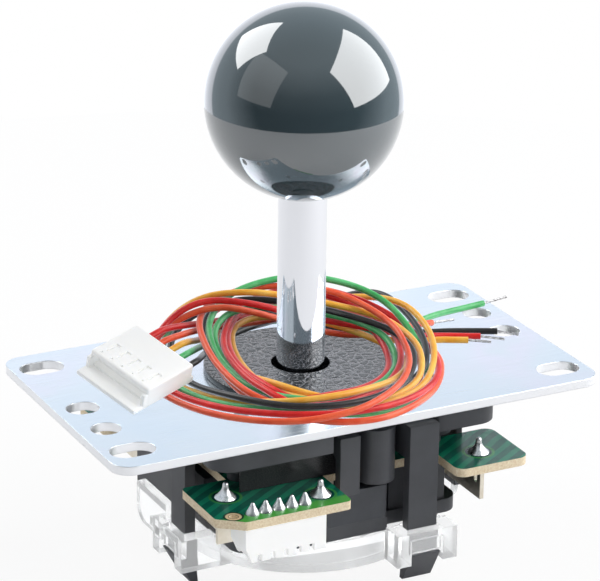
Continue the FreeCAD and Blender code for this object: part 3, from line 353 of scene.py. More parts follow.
# %% Orange wire
wire_turns["orange"] = [
    (13.6, 26.94, 6.07), (16.2, 25.20, 6.59), (18.5, 23.94, 6.78), (39.8, 17.96, 6.04), (83.4, 16.85, 2.95),
    (121.6, 19.47, 3.13), (163.3, 21.37, 3.91), (198.6, 25.67, 2.08), (225.1, 26.38, 0.89),
    (250.0, 27.52, 0.84), (270.6, 28.61, 0.85), (291.4, 25.75, 0.55), (323.1, 20.34, 0.80),
    (14.3, 17.15, 3.88), (55.3, 20.64, 5.27), (76.9, 20.02, 6.91), (95.7, 18.97, 5.90),
    (121.2, 17.51, 5.60), (156.9, 18.07, 5.10), (187.0, 20.69, 3.36), (212.0, 22.25, 1.50),
    (236.6, 23.25, 0.81), (263.8, 21.55, 0.56), (294.5, 21.26, 0.75), (314.4, 21.58, 2.28),
    (331.7, 20.11, 3.59), (4.1, 18.03, 5.65), (42.2, 19.89, 8.28), (75.7, 18.61, 10.02),
    (130.8, 14.80, 10.80), (187.4, 17.19, 7.67), (221.6, 20.26, 5.20), (244.2, 23.32, 4.49),
    (260.9, 25.75, 3.81), (277.6, 27.54, 2.62), (301.8, 28.08, 1.15), (335.0, 28.39, 0.53),
    (7.6, 29.65, 0.78), (29.5, 26.84, 5.53), (42.9, 17.51, 10.41), (75.8, 9.74, 7.51), (129.0, 10.42, 3.34),
    (160.0, 15.77, 1.54), (170.6, 23.27, 2.90), (167.2, 31.86, 1.00),
]

# %% [markdown]
# The yellow wire runs on top at the right, crosses the front as the second strand and makes the innermost loop.

# %% Yellow wire
wire_turns["yellow"] = [
    (9.3, 25.57, 5.35), (11.7, 23.79, 5.89), (17.1, 20.88, 6.32), (42.4, 18.77, 3.17), (71.6, 18.69, 2.84),
    (98.7, 18.45, 3.25), (131.6, 20.01, 6.37), (165.3, 24.00, 7.82), (191.2, 24.55, 5.38),
    (217.8, 24.60, 3.53), (242.0, 25.81, 1.99), (266.4, 23.97, 1.29), (293.2, 20.03, 2.16),
    (321.3, 15.01, 1.81), (2.4, 11.66, 2.33), (39.6, 12.88, 3.51), (61.5, 14.96, 4.44), (81.9, 15.52, 4.82),
    (117.6, 14.41, 4.45), (172.0, 15.58, 2.91), (215.6, 20.18, 2.84), (246.6, 21.74, 3.60),
    (268.8, 22.58, 4.17), (283.7, 23.44, 4.22), (301.9, 23.59, 3.37), (334.3, 22.53, 0.86),
    (11.4, 26.11, 0.34), (32.4, 26.91, 4.71), (47.9, 21.05, 10.56), (72.6, 13.32, 11.24),
    (130.2, 11.07, 8.94), (173.5, 17.00, 6.83), (195.7, 19.96, 5.37), (218.4, 22.38, 4.61),
    (240.2, 24.70, 2.50), (265.1, 22.88, 1.26), (290.8, 18.81, 2.60), (318.0, 15.47, 3.38),
    (352.1, 13.86, 2.15), (32.9, 15.89, 3.23), (66.0, 18.83, 4.37), (93.4, 19.94, 3.45),
    (117.7, 19.30, 1.22), (149.3, 18.45, 0.54), (176.4, 22.29, 0.64), (180.3, 28.66, 0.70),
    (182.8, 31.29, 0.65), (184.4, 33.46, 0.66),
]

# %% [markdown]
# The green wire stands highest at the back and ends in the longest tail, over the plate's end.

# %% Green wire
wire_turns["green"] = [
    (4.6, 24.35, 4.63), (6.8, 22.46, 5.15), (9.3, 20.81, 5.38), (46.3, 17.74, 2.37), (89.3, 20.24, 1.32),
    (109.9, 22.90, 0.41), (124.0, 20.43, 1.24), (148.7, 16.32, 3.72), (182.8, 16.97, 2.02),
    (207.6, 18.98, 1.74), (233.8, 19.03, 1.49), (265.1, 18.73, 1.00), (295.3, 18.89, 0.46),
    (314.2, 18.29, 1.99), (335.8, 15.40, 2.42), (5.6, 14.98, 3.44), (31.8, 16.32, 6.36),
    (59.8, 14.65, 8.57), (120.6, 10.97, 7.31), (183.1, 15.62, 5.70), (213.4, 17.87, 2.88),
    (242.7, 18.96, 2.53), (268.3, 21.06, 2.91), (286.5, 22.30, 3.11), (300.9, 21.11, 3.00),
    (318.7, 18.55, 2.49), (340.7, 16.85, 2.97), (9.0, 16.40, 5.02), (39.2, 17.51, 7.74),
    (70.3, 16.90, 10.85), (118.5, 16.38, 12.18), (160.8, 20.29, 9.35), (190.0, 21.67, 4.50),
    (219.2, 23.71, 1.75), (244.1, 26.38, 0.57), (267.8, 26.28, 0.70), (297.8, 24.32, 2.06),
    (332.4, 24.42, 0.88), (4.4, 26.32, 1.10), (35.2, 25.55, 5.18), (66.4, 22.62, 6.06), (90.0, 18.50, 4.94),
    (123.9, 14.41, 2.49), (158.2, 19.30, 1.60), (166.1, 27.15, 1.58), (164.6, 33.34, 1.64),
    (164.0, 38.88, 1.02), (164.1, 43.01, 0.72), (164.7, 46.92, 0.66),
]

# %% [markdown]
# The black wire leaves the connector's near end, is mostly hidden under the others and shows at the front left.

# %% Black wire
wire_turns["black"] = [
    (359.4, 23.31, 3.91), (1.2, 21.38, 4.43), (3.2, 19.70, 4.65), (30.6, 17.21, 2.40), (73.0, 17.16, 2.17),
    (107.5, 21.35, 1.17), (130.6, 25.76, 3.88), (149.5, 26.74, 6.81), (172.1, 23.75, 5.85),
    (201.1, 22.91, 4.57), (226.9, 23.68, 2.62), (259.2, 20.67, 0.56), (295.3, 20.18, 0.69),
    (317.9, 20.47, 2.14), (340.3, 18.33, 3.15), (14.1, 17.84, 4.96), (45.9, 18.70, 7.67),
    (70.9, 16.34, 9.30), (124.7, 9.74, 8.53), (189.1, 16.40, 6.41), (209.0, 20.11, 4.76),
    (226.8, 21.60, 3.93), (247.0, 23.53, 3.15), (271.9, 24.52, 2.75), (299.4, 25.12, 2.90),
    (327.6, 23.49, 2.87), (3.1, 22.85, 0.80), (31.2, 24.67, 3.60), (53.1, 21.03, 7.65), (79.9, 15.57, 7.41),
    (124.1, 12.67, 2.77), (159.8, 18.44, 1.84), (170.7, 26.51, 0.81), (175.1, 32.21, 0.72),
    (178.6, 36.44, 0.65), (181.5, 40.45, 0.66),
]

# %% [markdown]
# With the points at hand, the five curves are made in one go, in the order of the connector from its far end.

# %% Make the five curves
wires = {colour: lay_wire("wire_" + colour, turns) for colour, turns in wire_turns.items()}

# %% [markdown]
# ## Insulation
# Thin flexible insulation is smooth and rather glossy, with a soft sheen where the light runs along it. The colour
# runs through it, so a little light sinks in; one noise makes it lighter in places, and a fine one roughens it. In the
# photograph the ball, the shaft and the plate mirror none of the wires, so the wires are left out of mirror rays.

# %% Insulation finish
def insulation(name, deep, light):
    finish, tree, place = start_finish(name)
    cloudy = noise(tree, place, 260, 3)
    colour = mix_colours(tree, ramp(tree, cloudy, (0.35, 0.0), (0.7, 1.0)), deep, light)
    fine = noise(tree, place, 5200, 2)
    return end_finish(finish, tree, {
        "Base Color": colour, "Roughness": ramp(tree, fine, (0.3, 0.26), (0.7, 0.38)), "IOR": 1.5,
        "Subsurface Weight": 0.12, "Subsurface Radius": (0.6, 0.4, 0.3), "Subsurface Scale": 0.0006,
        "Normal": bump(tree, fine, 0.12, 0.00004)})


INSULATION = {
    "red": insulation("insulation_red", (0.66, 0.010, 0.010), (0.84, 0.03, 0.025)),
    "orange": insulation("insulation_orange", (0.85, 0.085, 0.025), (0.97, 0.16, 0.06)),
    "yellow": insulation("insulation_yellow", (0.95, 0.42, 0.03), (1.0, 0.58, 0.10)),
    "green": insulation("insulation_green", (0.05, 0.42, 0.11), (0.15, 0.62, 0.24)),
    "black": insulation("insulation_black", (0.014, 0.013, 0.013), (0.035, 0.032, 0.031)),
}
for colour, wire in wires.items():
    wire.data.materials.append(INSULATION[colour])
    wire.visible_glossy = False

# %% [markdown]
# ## Bare strands
# The insulation is cut back at each tail and the fine strands under it are twisted together. Six thin wires wound
# round each other show that twist better than any pattern on a rod. They are drawn as curves and kept as a mesh.

# %% Twisted strands
STRANDS = 6
STRAND_BODY = 0.15 * MM
STRAND_TWIST = 2.4 * MM
STRANDS_ACROSS = 0.5 * MM
STRAND_OVERLAP = 1.05
POINTS_PER_TWIST = 8
LOOSER_AT_THE_END = 0.25


def twist_strands(name, start, end):
    along = end - start
    length = along.length
    along.normalize()
    side = along.cross(Vector((0, 0, 1))).normalized()
    lift = side.cross(along)
    curve = bpy.data.curves.new(name, "CURVE")
    curve.dimensions = "3D"
    curve.bevel_depth = STRAND_BODY / 2 * STRAND_OVERLAP
    curve.bevel_resolution = 1
    curve.resolution_u = 3
    radius = STRANDS_ACROSS / 2 - STRAND_BODY / 2
    for strand in range(STRANDS):
        steps = int(length / STRAND_TWIST * POINTS_PER_TWIST) + 3
        spline = curve.splines.new("NURBS")
        spline.points.add(steps - 1)
        for step, point in enumerate(spline.points):
            share = step / (steps - 1)
            angle = 2 * pi * (strand / STRANDS + share * length / STRAND_TWIST)
            spread = radius * (1 + LOOSER_AT_THE_END * share * sin(strand * 2.1))
            place = start + along * (length * share) + (side * cos(angle) + lift * sin(angle)) * spread
            point.co = (*place, 1.0)
        spline.order_u = 3
        spline.use_endpoint_u = True
    drawn = bpy.data.objects.new(name + "_drawn", curve)
    scene.collection.objects.link(drawn)
    mesh = bpy.data.meshes.new_from_object(drawn.evaluated_get(bpy.context.evaluated_depsgraph_get()))
    bpy.data.objects.remove(drawn)
    piece = bpy.data.objects.new(name, mesh)
    scene.collection.objects.link(piece)
    print(name, "length", round(length / MM, 1), "faces", len(mesh.polygons))
    return piece


# %% [markdown]
# Each bundle starts where its wire stops. Its far end is a point over the plate, in millimetres, read from the picture.

# %% Strand ends
STRAND_ENDS = {
    "green": (50.7, 13.0, 0.9), "orange": (35.8, 7.0, 0.9), "black": (43.3, -4.0, 0.55),
    "red": (39.8, -4.8, 0.55), "yellow": (36.9, -4.9, 0.55),
}
strands = {}
for colour, end in STRAND_ENDS.items():
    start = round_shaft(*wire_turns[colour][-1])
    strands[colour] = twist_strands("strands_" + colour, start, Vector(end) * MM)

# %% [markdown]
# A wire is a cord. Each wire and its bare strands ride on the base, and the CAD solids that stood for the harness are
# hidden.

for colour, wire in wires.items():
    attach(wire, "base")
    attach(strands[colour], "base")
    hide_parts("harness_strands")
    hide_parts("lead_" + colour, "tail_" + colour, "harness_coil")
print("wires declared:", len(wires))

# %% [markdown]
# ## The ball
# The ball is moulded plastic, polished like a billiard ball. Its own colour is a dark grey green, but most of what
# one sees is mirrored light: the soft boxes, the table and the pale card at its rim. A clear coat with a high index
# gives those mirror images their strength, and very faint rubbing marks keep them from looking computed.

# %% Polished ball finish
ball_finish, tree, place = start_finish("ball_polished")
cloudy = noise(tree, place, 90, 3)
colour = mix_colours(tree, cloudy, (0.032, 0.052, 0.062), (0.042, 0.066, 0.077))
rubbed = noise(tree, place, 900, 6, 0.7)
ball_finish = end_finish(ball_finish, tree, {
    "Base Color": colour, "Roughness": ramp(tree, rubbed, (0.35, 0.05), (0.75, 0.11)), "IOR": 1.5,
    "Specular IOR Level": 0.6, "Coat Weight": 1.0, "Coat Roughness": 0.015, "Coat IOR": 2.1,
    "Normal": bump(tree, rubbed, 0.03, 0.00003)})

# %% [markdown]
# ## Metals
# The metals differ mainly in roughness and tint: the chromed shaft is a mirror with faint drawing lines, the plate is
# bright zinc with a bluish and lavender bloom, springs and screws are plain steel, and solder is a soft bright tin.
# The chrome comes first. Its lines run along the shaft, so the noise that makes them is stretched along Z.

# %% Chrome with faint drawing lines
chrome, tree, place = start_finish("chrome")
stretched = shader_node(tree, "ShaderNodeMapping", {"Vector": place, "Scale": (1.0, 1.0, 0.02)}).outputs[0]
lines = noise(tree, stretched, 3500, 3)
haze = noise(tree, place, 300, 4)
chrome = end_finish(chrome, tree, {
    "Base Color": (0.83, 0.84, 0.87, 1), "Metallic": 1.0, "Roughness": ramp(tree, haze, (0.3, 0.03), (0.8, 0.08)),
    "Normal": bump(tree, lines, 0.03, 0.00002)})

# %% [markdown]
# The plate was rolled, sheared and then plated. A broad noise tints the zinc, a stretched one gives the rolling grain
# along X, small spots dull it here and there, and the sheared walls are rougher than the top and painted whiter, as
# the light on them.

# %% Bright zinc plating
zinc, tree, place = start_finish("bright_zinc")
bloom = noise(tree, place, 38, 3, 0.5)
tint = ramp(tree, bloom, (0.30, (0.78, 0.87, 0.95)), (0.50, (0.82, 0.89, 0.95)), (0.66, (0.87, 0.87, 0.96)),
            (0.80, (0.80, 0.88, 0.92)))
rolled = shader_node(tree, "ShaderNodeMapping", {"Vector": place, "Scale": (0.03, 1.0, 1.0)}).outputs[0]
grain = noise(tree, rolled, 2600, 4, 0.6)
spots = noise(tree, place, 1500, 5, 0.7)
colour = mix_colours(tree, ramp(tree, spots, (0.62, 0.0), (0.80, 0.12)), tint, (0.52, 0.57, 0.64))
# Painted light: the sheared, upright walls are made near white and partly matt to stand for the light they catch; their
# greater roughness is real.
sheared = flatness(tree, 0.80, 0.95)
colour = mix_colours(tree, sheared, (0.93, 0.94, 0.96), colour)
rough = mix_colours(tree, sheared, (0.32, 0.32, 0.32), ramp(tree, grain, (0.3, 0.20), (0.75, 0.30)))
zinc = end_finish(zinc, tree, {
    "Base Color": colour, "Metallic": ramp(tree, sheared, (0.0, 0.75), (1.0, 1.0)), "Roughness": rough,
    "Normal": bump(tree, grain, 0.02, 0.00003, soft_edges(tree, 0.0003))})

# %% [markdown]
# Six small metal things share one recipe and differ in its colours, gloss and the size of their wear: springs and
# screws, solder, the header's pins, the ball's insert, the switch terminals and the bare strands.

# %% Worn metals
def worn_metal(name, dark, light, smooth, rough, scale, relief):
    finish, tree, place = start_finish(name)
    cloudy = noise(tree, place, scale, 5, 0.6)
    colour = mix_colours(tree, ramp(tree, cloudy, (0.3, 0.0), (0.7, 1.0)), dark, light)
    return end_finish(finish, tree, {
        "Base Color": colour, "Metallic": 1.0, "Roughness": ramp(tree, cloudy, (0.3, smooth), (0.8, rough)),
        "Normal": bump(tree, cloudy, 0.25, relief)})


steel = worn_metal("spring_steel", (0.42, 0.42, 0.44), (0.62, 0.62, 0.64), 0.22, 0.40, 900, 0.00003)
solder = worn_metal("bright_solder", (0.80, 0.80, 0.80), (0.96, 0.96, 0.96), 0.22, 0.42, 900, 0.00012)
tin = worn_metal("tin_plate", (0.66, 0.65, 0.60), (0.86, 0.85, 0.81), 0.18, 0.34, 1200, 0.00003)
brass = worn_metal("turned_brass", (0.60, 0.42, 0.16), (0.80, 0.62, 0.30), 0.20, 0.36, 1000, 0.00003)
terminal_metal = worn_metal("terminal_strip", (0.80, 0.72, 0.58), (0.92, 0.87, 0.76), 0.26, 0.42, 300, 0.00002)
bare_wire = worn_metal("bare_wire", (0.22, 0.20, 0.20), (0.95, 0.93, 0.92), 0.25, 0.45, 2600, 0.00002)

# %% [markdown]
# ## Plastics
# The washer is a soft black plastic disc pressed with a leather grain: small irregular cells whose edges catch the
# light, and that light is painted on them as a lighter grey. Voronoi cells broken up by noise give that pattern, and
# the same pattern drives colour, roughness and bump.

# %% Grained washer finish
washer_finish, tree, place = start_finish("grained_washer")
shift = sum_up_vectors(tree, "MULTIPLY", noise(tree, place, 1500, 2), (0.0006, 0.0006, 0.0006))
bent = sum_up_vectors(tree, "ADD", place, shift)
cells = shader_node(tree, "ShaderNodeTexVoronoi", {"Vector": bent, "Scale": 620.0, "Randomness": 1.0},
                    feature="DISTANCE_TO_EDGE").outputs["Distance"]
wrinkle = ramp(tree, cells, (0.0, 0.0), (0.12, 0.8), (0.4, 1.0))
fine = noise(tree, place, 3000, 3, 0.6)
height = mix_colours(tree, 0.3, wrinkle, fine)
# Painted highlight: the edges of the grain cells, broken up by noise, are coloured light grey as the light they catch.
near_a_rim = ramp(tree, cells, (0.0, 1.0), (0.10, 0.0))
painted_rim_glints = mix_colours(tree, 1.0, near_a_rim, ramp(tree, fine, (0.45, 0.0), (0.58, 1.0)), "MULTIPLY")
colour = mix_colours(tree, painted_rim_glints, (0.016, 0.017, 0.020), (0.36, 0.37, 0.41))
# Painted shade: upright faces, the outer wall and the bore, are made near black (0.008) as the shade on them.
level = flatness(tree, 0.5, 0.8)
colour = mix_colours(tree, level, (0.008, 0.008, 0.010), colour)
washer_finish = end_finish(washer_finish, tree, {
    "Base Color": colour, "Roughness": ramp(tree, fine, (0.3, 0.08), (0.7, 0.18)), "IOR": 1.52,
    "Specular IOR Level": 0.8, "Normal": bump(tree, height, level, 0.00030)})

# %% [markdown]
# The housing, the legs and the switches are moulded in black plastic with a satin, faintly sparked surface. It is
# charcoal rather than black. Its moulded edges are a little round, and a Bevel node stands for that in the light.

# %% Satin black mouldings
def satin_black(name, deep, light, smooth, rough, relief):
    finish, tree, place = start_finish(name)
    cloudy = noise(tree, place, 120, 4)
    sparked = noise(tree, place, 5200, 4, 0.7)
    colour = mix_colours(tree, ramp(tree, cloudy, (0.3, 0.0), (0.7, 1.0)), deep, light)
    return end_finish(finish, tree, {
        "Base Color": colour, "Roughness": ramp(tree, sparked, (0.3, smooth), (0.75, rough)), "IOR": 1.5,
        "Normal": bump(tree, sparked, 0.22, relief, soft_edges(tree, 0.00022))})


housing_finish = satin_black("housing_satin", (0.042, 0.044, 0.050), (0.062, 0.065, 0.073), 0.36, 0.52, 0.00005)
switch_finish = satin_black("switch_satin", (0.034, 0.037, 0.044), (0.056, 0.060, 0.070), 0.30, 0.46, 0.00004)
acetal = satin_black("pivot_acetal", (0.020, 0.020, 0.022), (0.032, 0.032, 0.035), 0.20, 0.34, 0.00002)

# %% [markdown]
# Nylon is white but never chalky: light sinks in and comes out again a little way off, which softens every edge. A
# faint glow stands for the part of that light that takes more turns than the render follows.

# %% Natural nylon
nylon, tree, place = start_finish("natural_nylon")
cloudy = noise(tree, place, 240, 3)
colour = mix_colours(tree, cloudy, (0.95, 0.95, 0.93), (0.99, 0.99, 0.98))
fine = noise(tree, place, 4200, 3)
nylon = end_finish(nylon, tree, {
    "Base Color": colour, "Roughness": ramp(tree, fine, (0.3, 0.34), (0.7, 0.48)), "IOR": 1.53,
    "Subsurface Weight": 0.4, "Subsurface Radius": (1.0, 0.95, 0.85), "Subsurface Scale": 0.0008,
    "Emission Color": (1.0, 0.99, 0.96, 1.0), "Emission Strength": 0.10,
    "Normal": bump(tree, fine, 0.10, 0.00004, soft_edges(tree, 0.00015))})

# %% [markdown]
# The gate is clear plastic, pressed in a polished mould. It lets most light through, bends it a little and shows flow
# marks. The faint glow stands for light that runs about inside it and comes out at its edges.

# %% Clear polycarbonate
clear_plastic, tree, place = start_finish("clear_polycarbonate")
flow = noise(tree, place, 140, 3)
clear_plastic = end_finish(clear_plastic, tree, {
    "Base Color": mix_colours(tree, flow, (0.97, 0.98, 0.99), (0.99, 0.995, 1.0)),
    "Roughness": ramp(tree, flow, (0.3, 0.05), (0.8, 0.14)), "IOR": 1.35, "Transmission Weight": 0.84,
    "Emission Color": (1.0, 1.0, 1.0, 1.0), "Emission Strength": 0.08,
    "Normal": bump(tree, flow, 0.10, 0.00012, soft_edges(tree, 0.00025))})

# %% [markdown]
# ## The switch board
# A green lacquer covers the copper: over tracks it looks lighter and warmer, between them deeper and bluer. The cut
# edge shows the tan glass fibre. One finish tells the two apart by the surface normal.

# %% Where the large solder joints stand, and their rings on the board
JOINT_PLACES = [(-9.4, -26.4), (-3.0, -17.6), (24.4, -22.6), (24.8, 20.5)]
JOINT_PLACES += [(-x, -y) for x, y in JOINT_PLACES]
VIA_PLACE = (-27.0, -28.2)


def distance_to(tree, place, x, y):
    """distance of a point of the board from an upright line at x, y"""
    offset = sum_up_vectors(tree, "SUBTRACT", place, (x * MM, y * MM, 0))
    return sum_up_vectors(tree, "LENGTH", sum_up_vectors(tree, "MULTIPLY", offset, (1, 1, 0)))


RAMP_REACH = 20


def bands(tree, value, *stops):
    """a ramp over millimetres, up to RAMP_REACH of them"""
    share = sum_up(tree, "MULTIPLY", value, 1000 / RAMP_REACH)
    return ramp(tree, share, *((mm / RAMP_REACH, amount) for mm, amount in stops))


print("large joints:", len(JOINT_PLACES))

# %% [markdown]
# The lacquer starts from a deep green. Slanting waves lay the lighter tracks on it, and the strip along the front edge,
# from y = -28.5 mm on, is lighter still.

# %% Tracks under the lacquer
TRACK_SLANT = radians(-33.5)
board_finish, tree, place = start_finish("board_lacquer")
cloudy = noise(tree, place, 420, 4)
ground = mix_colours(tree, ramp(tree, cloudy, (0.3, 0.0), (0.7, 1.0)), (0.002, 0.085, 0.060), (0.006, 0.125, 0.080))
slanted = shader_node(tree, "ShaderNodeMapping", {"Vector": place, "Rotation": (0, 0, TRACK_SLANT)}).outputs[0]
tracks = shader_node(tree, "ShaderNodeTexWave", {"Vector": slanted, "Scale": 120.0, "Distortion": 1.0, "Detail": 1.0},
                     bands_direction="Y").outputs[0]
lacquer = mix_colours(tree, ramp(tree, tracks, (0.52, 0.0), (0.60, 1.0)), ground, (0.008, 0.205, 0.115))
forwards = sum_up(tree, "MULTIPLY", part_along(tree, place, "Y"), -10.0)
lacquer = mix_colours(tree, ramp(tree, forwards, (0.283, 0.0), (0.287, 1.0)), lacquer, (0.075, 0.360, 0.060))
print("board nodes so far:", len(tree.nodes))

# %% [markdown]
# Round each large joint lies a dark disc with a pale ring, and near the board's corner a plated hole shows copper round
# a dark middle. Both are rings over the distance from an upright line.

# %% Rings round the joints and the plated hole
nearest = distance_to(tree, place, *JOINT_PLACES[0])
for x, y in JOINT_PLACES[1:]:
    nearest = sum_up(tree, "MINIMUM", nearest, distance_to(tree, place, x, y))
from_via = distance_to(tree, place, *VIA_PLACE)
RINGS = [
    (nearest, ((0, 1.0), (2.4, 1.0), (2.5, 0.0)), (0.002, 0.060, 0.045)),
    (nearest, ((2.4, 0.0), (2.5, 0.8), (2.9, 0.8), (3.0, 0.0)), (0.050, 0.280, 0.060)),
    (from_via, ((1.75, 1.0), (1.85, 0.0)), (0.010, 0.060, 0.030)),
    (from_via, ((1.35, 1.0), (1.45, 0.0)), (0.80, 0.60, 0.36)),
    (from_via, ((0.85, 1.0), (0.98, 0.0)), (0.07, 0.025, 0.012)),
]
for distance, stops, shade in RINGS:
    lacquer = mix_colours(tree, bands(tree, distance, *stops), lacquer, shade)
print("rings:", len(RINGS))

# %% [markdown]
# The cut edge is tan glass fibre with a fine weave, and it is rougher than the lacquer.

# %% Board finish
weave = noise(tree, place, 2600, 5, 0.7)
fibre = mix_colours(tree, ramp(tree, weave, (0.3, 0.0), (0.7, 1.0)), (0.66, 0.50, 0.30), (0.92, 0.82, 0.62))
flat = flatness(tree, 0.4, 0.6)
board_finish = end_finish(board_finish, tree, {
    "Base Color": mix_colours(tree, flat, fibre, lacquer), "Roughness": ramp(tree, flat, (0.0, 0.7), (1.0, 0.24)),
    "IOR": 1.5, "Normal": bump(tree, weave, 0.10, 0.00004)})

# %% [markdown]
# ## Dress the solids
# The CAD solids that keep their shape only need their finish. Pieces made later in this lesson replace some of them.
# In the photograph nothing mirrors the bare strands either, so they too are left out of mirror rays.

# %% Hand out the finishes
FINISHES = {
    "ball_top": ball_finish, "ball_insert": brass, "lever_shaft": chrome, "pivot_ball": acetal, "actuator": acetal,
    "retaining_ring": steel, "spring_collar": steel, "centring_spring": steel, "dust_washer": washer_finish,
    "mounting_plate": zinc, "plate_screws": steel, "housing": housing_finish, "switch_board": board_finish,
    "board_header": nylon, "header_pins": tin, "solder_joints": solder, "switch_holder": housing_finish,
    "gate_frame": clear_plastic, "gate_insert": clear_plastic, "harness_connector": nylon,
}
for side in ("front", "left", "back", "right"):
    FINISHES["switch_case_" + side] = switch_finish
    FINISHES["switch_plunger_" + side] = nylon
    FINISHES["switch_leaf_" + side] = steel
    FINISHES["switch_terminals_" + side] = terminal_metal
for node, finish in FINISHES.items():
    solids[node].data.materials.clear()
    solids[node].data.materials.append(finish)
for piece in strands.values():
    piece.data.materials.append(bare_wire)
    piece.visible_glossy = False
print("dressed solids:", len(FINISHES))

# %% [markdown]
# ## Making pieces with bmesh
# The next pieces are small mouldings and turned parts. A maker starts most of them from a block or from an outline that
# is spun round an axis, so two helpers do that, and a third one turns the finished bmesh into an object that rides on
# its body, takes its material slot and stands for a CAD node.

# %% Blocks, turned shapes and finished pieces
def block(bm, low, high, edge=0.0, segments=2):
    """a block between two corners in millimetres; edge is how far its edges are rounded"""
    made = bmesh.ops.create_cube(bm, size=1.0)["verts"]
    bmesh.ops.scale(bm, verts=made, vec=[h - l for l, h in zip(low, high)])
    bmesh.ops.translate(bm, verts=made, vec=[(h + l) / 2 for l, h in zip(low, high)])
    if edge:
        sides = list({side for vert in made for side in vert.link_edges})
        bmesh.ops.bevel(bm, geom=sides, offset=edge, affect="EDGES", segments=segments, profile=0.5, material=-1)


def turned(bm, outline, x=0.0, y=0.0, steps=32):
    """a solid of revolution about an upright line; the outline is (radius, height) in millimetres"""
    verts = [bm.verts.new((x + radius, y, height)) for radius, height in outline]
    edges = [bm.edges.new(pair) for pair in zip(verts, verts[1:])]
    bmesh.ops.spin(bm, geom=verts + edges, cent=(x, y, 0), axis=(0, 0, 1), angle=2 * pi, steps=steps, use_merge=True)


MERGE_WITHIN = 0.0005


def finish_piece(name, bm, finish, body, replaces=(), place=None, crease=35):
    if place is not None:
        bmesh.ops.transform(bm, matrix=place, verts=bm.verts)
    bmesh.ops.remove_doubles(bm, verts=bm.verts, dist=MERGE_WITHIN)
    bmesh.ops.recalc_face_normals(bm, faces=bm.faces)
    bmesh.ops.scale(bm, verts=bm.verts, vec=(MM, MM, MM))
    mesh = bpy.data.meshes.new(name)
    bm.to_mesh(mesh)
    bm.free()
    mesh.materials.append(finish)
    mesh.shade_smooth()
    mesh.set_sharp_from_angle(angle=radians(crease))
    piece = bpy.data.objects.new(name, mesh)
    scene.collection.objects.link(piece)
    weighted = piece.modifiers.new("weighted", "WEIGHTED_NORMAL")
    weighted.keep_sharp = True
    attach(piece, body)
    if replaces:
        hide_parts(*replaces)
    print(name, "faces", len(mesh.polygons))
    return piece


# %% [markdown]
# ## The washer
# The dust washer lies loose on the plate round the shaft. Its real rim is rounded on top and catches a thin white line
# of light, above an upright wall whose near black is painted shade in the washer's finish. An outline spun once round
# the shaft gives that rim, and leaves only the narrow gap round the shaft that the tilting lever needs.

# %% Washer with a rounded rim
WASHER_RADIUS, WASHER_HEIGHT, WASHER_BORE = 17.5, 1.3, 5.25
WASHER_FOOT = 0.05
washer_outline = [
    (WASHER_BORE, WASHER_FOOT), (WASHER_BORE, WASHER_HEIGHT - 0.2), (WASHER_BORE + 0.06, WASHER_HEIGHT - 0.06),
    (WASHER_BORE + 0.2, WASHER_HEIGHT), (WASHER_RADIUS - 0.45, WASHER_HEIGHT),
    (WASHER_RADIUS - 0.2, WASHER_HEIGHT - 0.05), (WASHER_RADIUS - 0.05, WASHER_HEIGHT - 0.2),
    (WASHER_RADIUS, WASHER_HEIGHT - 0.45), (WASHER_RADIUS, 0.15), (WASHER_RADIUS - 0.12, WASHER_FOOT),
    (WASHER_BORE, WASHER_FOOT),
]
bm = bmesh.new()
turned(bm, washer_outline, steps=128)
finish_piece("dust_washer_turned", bm, washer_finish, "base", ["dust_washer"])

# %% [markdown]
# ## The solder joints
# Each lead ends in a cone of solder that creeps out over its pad. The cones are low and wide at the foot with the
# trimmed lead rounded over at the tip, so they are turned from a curved outline rather than a straight cone. There is
# a large one for each switch lead and a small one for each of the header's five pins.

# %% Solder cones
BOARD_TOP = -12.0
PINS, PIN_PITCH, FIRST_PIN, PIN_ROW = 5, 2.5, -23.5, -28.5
LARGE_CONE = [
    (0, 2.80), (0.30, 2.76), (0.46, 2.60), (0.54, 2.30), (0.56, 1.90), (0.74, 1.36), (1.10, 0.88), (1.50, 0.50),
    (1.82, 0.20), (1.95, 0.0),
]
SMALL_CONE = [
    (0, 2.08), (0.20, 2.03), (0.34, 1.86), (0.48, 1.50), (0.66, 1.12), (0.90, 0.72), (1.10, 0.36), (1.19, 0.12),
    (1.22, 0.0),
]
bm = bmesh.new()
for x, y in JOINT_PLACES:
    turned(bm, [(r, z + BOARD_TOP) for r, z in LARGE_CONE], x, y, steps=24)
for pin in range(PINS):
    turned(bm, [(r, z + BOARD_TOP) for r, z in SMALL_CONE], FIRST_PIN + PIN_PITCH * pin, PIN_ROW, steps=20)
finish_piece("solder_cones", bm, solder, "base", ["solder_joints"])

# %% [markdown]
# ## The wire connector
# The connector is a small white nylon housing for five crimped wires. Its mouth is a wide slot with a longer lower lip,
# its top has five small hooked windows where the crimps latch, and a foot runs along below. It is built in its own
# upright position, with X along the wires, and then tipped onto the wires by one matrix.

# %% Connector housing
CONNECTOR_PLACE = (Matrix.Translation((-36.0, -6.9, 0.05)) @ Matrix.Rotation(radians(21.5), 4, "Z")
                   @ Matrix.Rotation(radians(-6.8), 4, "Y") @ Matrix.Rotation(radians(16.9), 4, "X"))
CONNECTOR_TOP = 4.2
MOUTH_WALL, MOUTH_DEPTH = 0.45, 1.8
bm = bmesh.new()
block(bm, (3.0, 0.0, 0.0), (14.6, 14.1, CONNECTOR_TOP), 0.4, 3)
mouth = [face for face in bm.faces if face.normal.x < -0.9 and face.calc_area() > 5]
bmesh.ops.inset_region(bm, faces=mouth, thickness=MOUTH_WALL)
deeper = bmesh.ops.extrude_discrete_faces(bm, faces=mouth)["faces"]
bmesh.ops.translate(bm, verts=list({vert for face in deeper for vert in face.verts}), vec=(MOUTH_DEPTH, 0, 0))
print("mouth faces", len(mouth))

